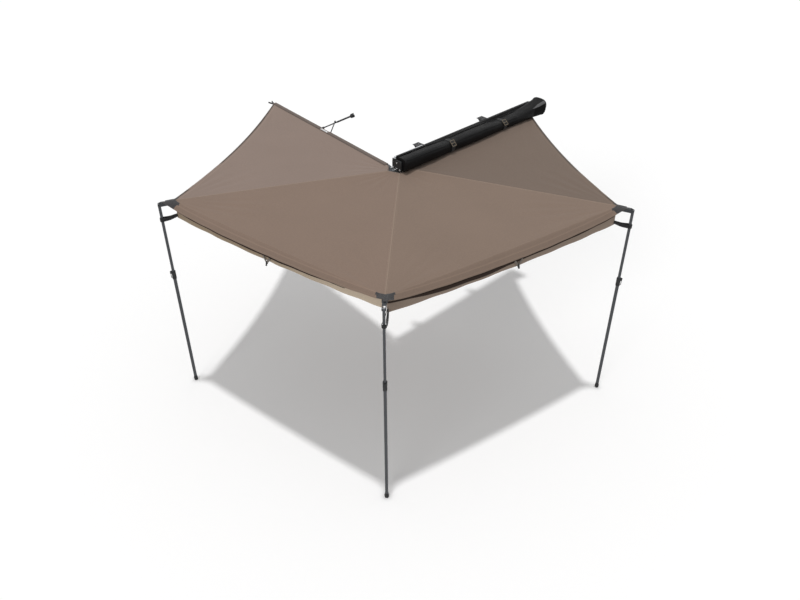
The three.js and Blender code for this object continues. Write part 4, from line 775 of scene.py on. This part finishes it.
# Pole straps: webbing sewn inside the valances' lower corners runs round the outside of the pole
STRAP_WIDTH, STRAP_THICK, STRAP_TOP, STRAP_LOWER = 38.0, 2.0, 106.0, 8.0
STRAP_RING = 14.8 + STRAP_THICK / 2
POLE_DROP = 21.0
# Both legs are sewn to one valance's corner, each this much to its own side of one place there
STRAP_APART = 3.0
# That place by pole: reach, side and height
STRAP_SEWN = {"b": (1804.0, -18.0, -134.0), "c": (1808.0, 17.0, -112.0), "d": (1804.0, 18.0, -122.0)}
# How far the legs twist, so that their outer face looks up, and how far they hang slack
STRAP_TWIST = {"b": 0.0, "c": 0.6, "d": 0.0}
STRAP_SLACK = 5.0
RING_STEPS, LEG_STEPS = 36, 24

for index, letter in enumerate(POLES):
    sewn_reach, sewn_side, sewn_height = STRAP_SEWN[letter]
    ends = {side: (sewn_reach, side * sewn_side + STRAP_APART, sewn_height) for side in (-1, 1)}
    lean = {side: math.atan2(end[1] - STRAP_RING, ARM_LENGTH - end[0]) for side, end in ends.items()}
    turn = np.linspace(-math.pi / 2 + lean[-1], math.pi / 2 - lean[1], RING_STEPS)
    round_height = -POLE_DROP - STRAP_TOP - STRAP_WIDTH / 2 - STRAP_LOWER
    ring = np.stack([ARM_LENGTH + STRAP_RING * np.cos(turn), STRAP_RING * np.sin(turn),
                     np.full(RING_STEPS, round_height)], -1)
    legs = {}
    for side, root in ((-1, ring[0]), (1, ring[-1])):
        reach, away, height = ends[side]
        far = np.array([reach, side * away, height])
        share = np.linspace(0, 1, LEG_STEPS)[:, None]
        legs[side] = far + (root - far) * share
        legs[side][:, 2] -= STRAP_SLACK * np.sin(math.pi * share[:, 0]) ** 2
    path = np.concatenate([legs[-1][:-1], ring, legs[1][::-1][1:]])
    following = np.gradient(path[:, :2], axis=0)
    outward = unit(np.stack([following[:, 1], -following[:, 0]], -1))
    c, s = math.cos(headings[index]), math.sin(headings[index])
    bump = np.sin(np.linspace(0, math.pi, LEG_STEPS)) ** 0.5
    twist = STRAP_TWIST[letter] * np.concatenate([bump[:-1], np.zeros(RING_STEPS), bump[::-1][1:]])
    normal = np.stack([outward[:, 0] * c - outward[:, 1] * s, outward[:, 0] * s + outward[:, 1] * c, twist], -1)
    widening = np.linspace(24, 30, LEG_STEPS - 1)
    width = np.concatenate([widening, np.full(RING_STEPS, 30.0), widening[::-1]])
    strap = ribbon("pole_strap_loop_" + letter, on_arm(index, *path.T), normal, width, STRAP_THICK,
                   black_webbing, "black_webbing", crown=0.4, columns=7)
    leg_at, ring_at = (place(on_arm(index, ARM_LENGTH - back, 0, -POLE_DROP - STRAP_TOP)) for back in (100, 20))
    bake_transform(strap)
    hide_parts("pole_strap_" + letter)

# Cover bag: one lofted shell from the closed rear end to the hollow, flared front mouth
BAG_REAR, BAG_FRONT = -6.0, 1454.0
BAG_BACK, BAG_FLOOR = 18.8, 1879.0
BAG_WIDTH, BAG_WIDTH_GROWTH = 126.0, 10.0
BAG_HEIGHT, BAG_HEIGHT_LOSS = 118.0, 30.0
BAG_PINCH, BAG_PINCH_LENGTH = 12.0, 120.0
BAG_STRAPS = (580.0, 1280.0)
BAG_STRAP_WIDTH, BAG_STRAP_GAP, BAG_STRAP_THICK = 38.0, 0.9, 2.0
COWL_FRONT, MOUTH_WIDTH, MOUTH_HEIGHT, MOUTH_LIFT = 1812.0, 178.0, 150.0, 2.0
COWL_WALL, COWL_DEPTH, COWL_FLARE, COWL_SKEW = 4.0, 230.0, 0.55, 34.0
BAG_SIDES, BAG_GIRTH = 84, 440.0
# The section's power: 2 is an ellipse, and more is squarer. Folds take this share of its size
BAG_POWER, FOLD_DEPTH = 3.0, 0.035
# Where the mouth's painted shadow and its painted highlight begin along the bag, and the angles that part them
PAINTED_SHADOW_FROM, PAINTED_HIGHLIGHT_FROM = 1662.0, 1652.0
PAINTED_HIGHLIGHT_START, PAINTED_HIGHLIGHT_END, PAINTED_SHADOW_END = 112, 143, 285


def bag_section(x):
    """Half the width and height of the bag at x, and how much a strap pinches it there, up to 1."""
    along = (x - BAG_REAR) / (BAG_FRONT - BAG_REAR)
    beside = max(min(abs(x - at) for at in BAG_STRAPS) - BAG_STRAP_WIDTH / 2, 0)
    pinch = BAG_PINCH * math.exp(-(beside / BAG_PINCH_LENGTH) ** 2)
    width = BAG_WIDTH + BAG_WIDTH_GROWTH * along - pinch
    height = BAG_HEIGHT - BAG_HEIGHT_LOSS * along - pinch
    return width / 2, height / 2, pinch / BAG_PINCH


def bag_ring(x, half_width, half_height, centre_y, centre_z, grow=0.0, folds=0.0, seed=0.0, sides=BAG_SIDES):
    """A ring of the bag. folds draws it in by lengthwise folds and dents."""
    angles = round_angles(sides)
    c, s = np.cos(angles), np.sin(angles)
    y = (half_width + grow) * np.sign(c) * np.abs(c) ** (2 / BAG_POWER)
    z = (half_height + grow) * np.sign(s) * np.abs(s) ** (2 / BAG_POWER)
    if folds:
        dents, long_folds = (
            np.array([noise.noise(Vector((x * pace, size * math.cos(a), size * math.sin(a) + seed + more)))
                      for a in angles]) for pace, size, more in ((0.011, 1.9, 0), (0.0035, 3.4, 7)))
        shrink = 1 - folds * (0.5 + 0.9 * np.abs(long_folds) ** 0.7 + 0.5 * dents) * FOLD_DEPTH
        shrink = np.minimum(shrink, 1.0)
        y, z = y * shrink, z * shrink
    return np.stack([np.full(sides, x), centre_y + y, centre_z + z], -1)


def bag_round(at, x=None, inset=1.0, **options):
    """A ring of the bag's section at one place, moved to x where that is given."""
    half_width, half_height, pinched = bag_section(at)
    return bag_ring(at if x is None else x, half_width * inset, half_height * inset, BAG_BACK - half_width,
                    BAG_FLOOR + half_height, **options)


def cowl_ring(along, grow, folds=0.0):
    """A ring of the flared cowl, a share of the way from its root to its mouth."""
    root_width, root_height, pinched = bag_section(BAG_FRONT)
    wide = min(along, 1.0) ** (1 / COWL_FLARE)
    half_width = root_width + (MOUTH_WIDTH / 2 - root_width) * wide
    half_height = root_height + (MOUTH_HEIGHT / 2 - root_height) * wide
    start = BAG_FRONT + GAP
    ring = bag_ring(start + (COWL_FRONT - start) * along, half_width, half_height, BAG_BACK - half_width,
                    BAG_FLOOR + half_height + MOUTH_LIFT * wide, grow, folds=folds, seed=3.0)
    ring[:, 0] += COWL_SKEW * along * ((ring[:, 2] - BAG_FLOOR) / MOUTH_HEIGHT - 0.5)
    return ring


# The rear end is a flat panel with a rounded edge
bag_rings = [bag_round(BAG_REAR, BAG_REAR + back, inset) for inset, back in (
    (0.06, 0.0), (0.35, 0.0), (0.7, 0.0), (0.9, 0.3), (0.97, 2.0), (0.995, 5.0))]
bag_x = np.unique(np.concatenate([np.linspace(BAG_REAR + 10, BAG_FRONT, 150)]
                                 + [at + np.array([-24, -19.5, -12, 0, 12, 19.5, 24]) for at in BAG_STRAPS]))
for x in bag_x:
    slack = (1 - bag_section(x)[2]) * smoothstep((x - BAG_REAR) / 60)
    bag_rings.append(bag_round(x, folds=float(slack)))
bag_rings += [cowl_ring(along, 0.0, folds=1.0) for along in np.linspace(0.02, 0.985, 40)]
bag_rings += [cowl_ring(along, grow) for along, grow in (
    (0.993, 0.0), (0.999, -0.6), (1.0, -1.6), (0.999, -3.0), (0.993, -COWL_WALL))]
# From this row on, the cowl's rim and inner skin take the near-black cloth, painted shadow inside the mouth
lining_and_shadow_row = len(bag_rings) - 2
hollow_from = 1 - COWL_DEPTH / (COWL_FRONT - BAG_FRONT)
bag_rings += [cowl_ring(along, -COWL_WALL, folds=0.5) for along in np.linspace(0.98, hollow_from, 26)]
end_ring = cowl_ring(hollow_from, -COWL_WALL)
middle = end_ring.mean(axis=0)
bag_rings += [middle + (end_ring - middle) * inset for inset in (0.8, 0.4, 0.06)]
grid = np.stack(bag_rings)
values = per_point(grid.shape[:2], cloth_u=np.linspace(0, BAG_GIRTH, BAG_SIDES, endpoint=False),
                   cloth_v=grid[..., 0], side=100.0)
bag = loft("cover_bag", grid, cover_cloth, "cover_cloth", values, flip=True)
bag.data.materials.append(lining_and_shadow_cloth)
bag.data.materials.append(highlight_lip_cloth)
# Painted shadow and highlight at the open mouth: a window of its near outer side is near-black, as if its shaded
# inside showed, and a paler strip on top is a painted highlight
for polygon in bag.data.polygons:
    row, turn = divmod(min(polygon.vertices), BAG_SIDES)
    turn *= 360 / BAG_SIDES
    x = grid[row, :, 0].mean()
    if row >= lining_and_shadow_row or (x > PAINTED_SHADOW_FROM + 0.4 * abs(turn - 190) and PAINTED_HIGHLIGHT_END < turn < PAINTED_SHADOW_END):
        polygon.material_index = 1
    elif x > PAINTED_HIGHLIGHT_FROM + 5.0 * abs(turn - 130) and PAINTED_HIGHLIGHT_START < turn <= PAINTED_HIGHLIGHT_END:
        polygon.material_index = 2
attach(bag, "rail")
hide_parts("bag_roll", "bag_cowl")

# Piping round the rear end, along the bag's upper front edge and round the cowl's mouth
ring = bag_round(BAG_REAR, BAG_REAR + 2.5, 0.97)
ring[:, 2] = np.maximum(ring[:, 2], BAG_FLOOR + 3.2)
tube("bag_end_piping", ring, 2.6, cover_cloth, "cover_cloth", loop=True, body="rail")
# The fourth of eight points round the bag lies at 135 degrees
tube("bag_edge_piping", [bag_round(x, inset=0.995, sides=8)[3] for x in bag_x[2:]], 3.2, cover_cloth,
     "cover_cloth", body="rail")
# The mouth's piping takes the pale cloth too, a painted highlight round the mouth
tube("bag_mouth_piping", cowl_ring(0.994, -COWL_WALL / 2), 3.0, highlight_lip_cloth, "cover_cloth", loop=True, body="rail")

# A flap of the cover lies over the rail's top. Its rear end is narrower, and leaves the rail's top
# edge bright behind it as far as the rear bracket
RAIL_TOP = 1974.0
RAIL_FACE, RAIL_BACK = 22.0, 48.0
RAIL_SHOWS_TO = 330.0
flap_x = np.linspace(BAG_REAR + 6, 1790, 130)
flap_rows = []
for x in flap_x:
    top = BAG_FLOOR + 2 * bag_section(min(x, BAG_FRONT))[1]
    rise = 0.8 * noise.noise(Vector((x * 0.02, 4.0, 0.0)))
    back = RAIL_BACK - 0.5 - 20.0 * smoothstep((RAIL_SHOWS_TO - x) / 20)
    flap_rows.append([(x, BAG_BACK - 22, top - 1.5), (x, BAG_BACK - 8, top - 1.2 + rise), (x, BAG_BACK - 1, top - 1),
                      (x, RAIL_FACE - 1.2, max(top, RAIL_TOP - 8)), (x, RAIL_FACE - 0.6, RAIL_TOP + 0.8),
                      (x, RAIL_FACE + 2, RAIL_TOP + 2.2), (x, (RAIL_FACE + back) / 2, RAIL_TOP + 2.4 + rise),
                      (x, back, RAIL_TOP + 2.0)])
flap_rows = np.array(flap_rows)
values = per_point(flap_rows.shape[:2], cloth_u=run_of(flap_rows[0]), cloth_v=flap_x[:, None], side=100.0)
sheet_mesh("bag_rail_flap", flap_rows, np.array((0.0, 0.4, -1.2)), cover_cloth, "cover_cloth", values, body="rail")
edge_x = np.linspace(BAG_REAR + 8, RAIL_SHOWS_TO, 12)
ribbon("rail_top_edge", np.stack([edge_x, np.full(12, RAIL_BACK - 9), np.full(12, RAIL_TOP + 1.1)], -1), UP,
       16.0, 6.0, rail_metal, "rail_aluminium", crown=1.2, columns=7, body="rail")

# End plate over the bag's and the rail's rear ends, with its bolts
PLATE_X, PLATE_BACK_Y, PLATE_FRONT_Y, PLATE_LOW, PLATE_HIGH = -21.4, 49.0, -62.0, 1880.0, 1972.0


def rounded_plate(name, x_from, x_to, y_from, y_to, z_from, z_to, corner=9.0, chamfer=2.5):
    """A plastic plate square to the rail, with round corners and a chamfer on its rear edge."""
    turns = round_angles(48)
    c, s = np.cos(turns), np.sin(turns)
    rings = []
    for x, inset in ((x_from, chamfer), (x_from + chamfer, 0.0), (x_to, 0.0)):
        half_y, half_z = (y_to - y_from) / 2 - inset, (z_to - z_from) / 2 - inset
        y = np.sign(c) * (half_y - corner) + corner * c
        z = np.sign(s) * (half_z - corner) + corner * s
        rings.append(np.stack([np.full_like(c, x), (y_from + y_to) / 2 + y, (z_from + z_to) / 2 + z], -1))
    loft(name, np.stack(rings), black_plastic, "black_plastic", flip=True, smooth=False, body="rail")


rounded_plate("hub_end_plate", PLATE_X, PLATE_X + 2.8, PLATE_FRONT_Y, PLATE_BACK_Y, PLATE_LOW, PLATE_HIGH,
              corner=24.0)
rounded_plate("hub_end_block", PLATE_X + 2.9, BAG_REAR - 0.3, PLATE_FRONT_Y + 4, 18.0, PLATE_LOW + 3,
              PLATE_HIGH - 3, chamfer=0.5)
turns = round_angles(20)
for number, (y, z) in enumerate(((-8.0, 1946.0), (-3.0, 1894.0), (36.0, 1894.0), (-44.0, 1890.0))):
    rings = [np.stack([np.full_like(turns, PLATE_X - out), y + size * np.cos(turns), z + size * np.sin(turns)], -1)
             for out, size in ((0.1, 7.6), (2.4, 7.4), (3.8, 6.0), (4.0, 2.6), (3.0, 2.4))]
    loft(f"hub_bolt_{number}", np.stack(rings), bolt_steel, "bolt_steel", smooth=False, body="rail")

# Straps round the bag, woven: an outer and an inner skin, joined along both edges
for at, name in zip(BAG_STRAPS, ("rear", "front")):
    levels = BAG_STRAP_WIDTH * np.linspace(-0.5, 0.5, 7)[:, None]
    outer, inner = (np.stack([bag_round(at, at + level, grow=grow, sides=96) for level in levels[:, 0]])
                    for grow in (BAG_STRAP_GAP + BAG_STRAP_THICK, BAG_STRAP_GAP))
    rows, sides = outer.shape[:2]
    count = rows * sides
    k = np.arange(sides)
    k2 = (k + 1) % sides
    last = (rows - 1) * sides
    faces = np.concatenate([grid_faces(rows, sides, close=True, flip=True),
                            grid_faces(rows, sides, count, close=True),
                            np.stack([k, k2, k2 + count, k + count], -1),
                            np.stack([last + k2, last + k, last + k + count, last + k2 + count], -1)])
    values = per_point((rows, sides), cloth_u=levels, cloth_v=np.linspace(0, 450, sides),
                       side=BAG_STRAP_WIDTH / 2 - np.abs(levels))
    strap = build("bag_strap_band_" + name, np.concatenate([outer.reshape(-1, 3), inner.reshape(-1, 3)]), faces,
                  black_webbing, "black_webbing", doubled(values), body="rail")
    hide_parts("bag_strap_" + name)

# Tie tabs: a webbing V under each valance's middle, with a black hook
TIE_SHARES = {1: 0.467, 2: 0.520}
TIE_SPREAD, TIE_WIDTH, TIE_FROM, TIE_DROP = 36.0, 17.0, 116.0, 44.0
for index in HEMMED:
    start, outward, free, run = valance_at(index, [TIE_SHARES[index]], [TIE_FROM])
    foot = start[0] + outward * 12 + np.array((0, 0, -TIE_DROP))
    weight = float(free[0])
    for side, side_name in SIDES:
        top = start[0] + tip_line(index)[3] * side * TIE_SPREAD + outward * 8 + np.array((0, 0, 4.0))
        path = top + (foot - top) * np.linspace(0, 1, 14)[:, None]
        leg = ribbon(f"tie_leg_{GORE_NAMES[index]}_{side_name}", path, outward, TIE_WIDTH, 1.4, tab_webbing,
                     "webbing")
        blend_by(leg, index, weight)
    path = [foot + outward * out + np.array((0, 0, 4.0 + rise))
            for out, rise in ((0, 8), (0, -4), (2, -12), (6, -20), (11, -26))]
    hook = tube("tie_hook_" + GORE_NAMES[index], path, [7, 8.5, 9, 8, 5], black_plastic, "black_plastic")
    blend_by(hook, index, weight)

# Sleeve of cloth round the last arm, with a slot for the brace
SLEEVE_GAP, SLEEVE_CLOTH = 0.5, 1.1
SLEEVE_SLOT = (905.0, 1118.0)
SLEEVE_START, SLEEVE_END = 70.0, CANOPY_LAST
out = ARM_WIDTH / 2 + SLEEVE_GAP
low = -ARM_DEPTH - SLEEVE_GAP
SLEEVE_SIDE = [(-0.5, 0.4), (-10, 0.4), (-18, 0.4), (-out + 0.4, -0.4), (-out, -2.5)]
SLEEVE_WALL = [(-out, -8), (-out, -14), (-out, -20), (-out, -26)]
SLEEVE_UNDER = [(-out + 0.4, low + 0.8), (-out + 3, low), (-14, low), (-7, low)]


def sleeve_part(name, section, start, end, count):
    reach = np.linspace(start, end, count)[:, None]
    section = np.array(section)
    following = unit(np.gradient(section, axis=0))
    normal = np.stack([following[:, 1], -following[:, 0]], -1)
    if normal[0, 1] < 0 and normal[0, 0] > -0.5:
        normal = -normal
    inner, outer = (on_arm(3, reach, *(section + off * normal).T) for off in (0.0, SLEEVE_CLOTH))
    values = per_point(outer.shape[:2], cloth_u=reach, cloth_v=run_of(section), side=200.0, edge=200.0, run=reach)
    # The sleeve takes gore de's copy of the cloth, with its painted light and shade
    sheet_mesh(name, outer, inner - outer, lit_and_shaded_gore_surfaces[3], "canopy_cloth", values, body="arm_e")


slot_start, slot_end = SLEEVE_SLOT
whole = SLEEVE_SIDE + SLEEVE_WALL + SLEEVE_UNDER
sleeve_part("sleeve_inner", whole, SLEEVE_START, slot_start, 30)
sleeve_part("sleeve_outer", whole, slot_end, SLEEVE_END, 30)
sleeve_part("sleeve_bridge", SLEEVE_SIDE, slot_start, slot_end, 12)
# A loose, raised cap along the arm's top, open at the slot, where the bare arm shows
CAP_WIDTH, CAP_SIDE, CAP_RISE = 38.0, -3.0, 8.5
SHOWN_FROM, SHOWN_TO = 938.0, 1058.0
ON_SLEEVE = GAP + CLOTH + 1.2
for name, start, end in (("inner", SLEEVE_START, SHOWN_FROM), ("outer", SHOWN_TO, SLEEVE_END - 2)):
    reach = np.linspace(start, end, 80)
    taper = smoothstep((reach - start) / 25) * smoothstep((end - reach) / 25)
    ripple = np.array([noise.noise(Vector((value * 0.02, 8.0, 0.0))) for value in reach])
    ribbon("sleeve_cap_" + name, on_arm(3, reach, CAP_SIDE, ON_SLEEVE + 0.1 + 0.5 * ripple), UP, CAP_WIDTH, 1.2,
           sleeve_surface, "canopy_cloth", crown=CAP_RISE * (0.25 + 0.75 * taper)[:, None], columns=13,
           body="arm_e")
ribbon("sleeve_slot_plate", on_arm(3, np.linspace(SHOWN_FROM + 4, SHOWN_TO - 4, 8), 0, ON_SLEEVE), UP, 18.0, 1.6,
       rail_metal, "arm_aluminium", crown=0.6, columns=7, body="arm_e")
ribbon("sleeve_seam", on_arm(3, np.linspace(SLEEVE_START, SLEEVE_END - 4, 60), 19.5, ON_SLEEVE), UP, 7.0, 0.8,
       binding_surface, "canopy_cloth", crown=0.4, body="arm_e")


# Lamps, world and floor
def sun(name, energy, rotation, angle):
    data = bpy.data.lights.new(name, "SUN")
    data.energy, data.angle = energy, math.radians(angle)
    linked(name, data).rotation_euler = [math.radians(value) for value in rotation]


def seen(tree):
    """1 where the camera sees the thing itself, also by reflection or through glass."""
    path = add(tree, "LightPath").outputs
    return maths("MAXIMUM", path["Is Camera Ray"],
                 maths("MAXIMUM", path["Is Glossy Ray"], path["Is Transmission Ray"]))


sun("sun_above", 0.47 * math.pi, (0, 0, 0), 3)
sun("sun_side", 0.22 * math.pi, (62, 0, -72), 24)

WORLD_LIGHT = 0.45
world = bpy.data.worlds.new("world")
bpy.context.scene.world = world
world.use_nodes = True
tree = world.node_tree
background = tree.nodes["Background"]
strength = maths("MULTIPLY_ADD", seen(tree), 1.0 - WORLD_LIGHT, WORLD_LIGHT)
tree.links.new(strength, background.inputs["Strength"])
background.inputs["Color"].default_value = (1, 1, 1, 1)

FLOOR_LIGHT = (0.62, 0.62, 0.62, 1)
FLOOR_SIZE = 60.0
FLOOR_Z = float(cad_box[0][2])
floor_material, tree, white = surface("floor", (255, 255, 255), Roughness=1.0, Specular_IOR_Level=0.0)
tree.links.new(mix(tree, seen(tree), FLOOR_LIGHT, white), tree.nodes[SHADER].inputs["Base Color"])
floor_mesh = bpy.data.meshes.new("floor")
floor_mesh.from_pydata([(x * FLOOR_SIZE, y * FLOOR_SIZE, FLOOR_Z) for x, y in ((-1, -1), (1, -1), (1, 1), (-1, 1))],
                       [], [(0, 1, 2, 3)])
floor_mesh.materials.append(floor_material)
floor = linked("floor", floor_mesh)

bpy.context.scene.view_settings.view_transform = "Standard"

# The sheets' cut sizes: each gore is a triangle whose free edge, if it has one, is cut hollow
for index, gore in enumerate(gores):
    width = width_of(index)
    height = math.sqrt(CANOPY_REACH ** 2 - (width / 2) ** 2)
    droop = droop_at(index, np.linspace(0.1, 0.9, 9), LONGEST)[2].mean() if index in HEMMED else 0.0
for index, valance in valances.items():
    (width_of(index) - 2 * SEWN_INSET) / 1000
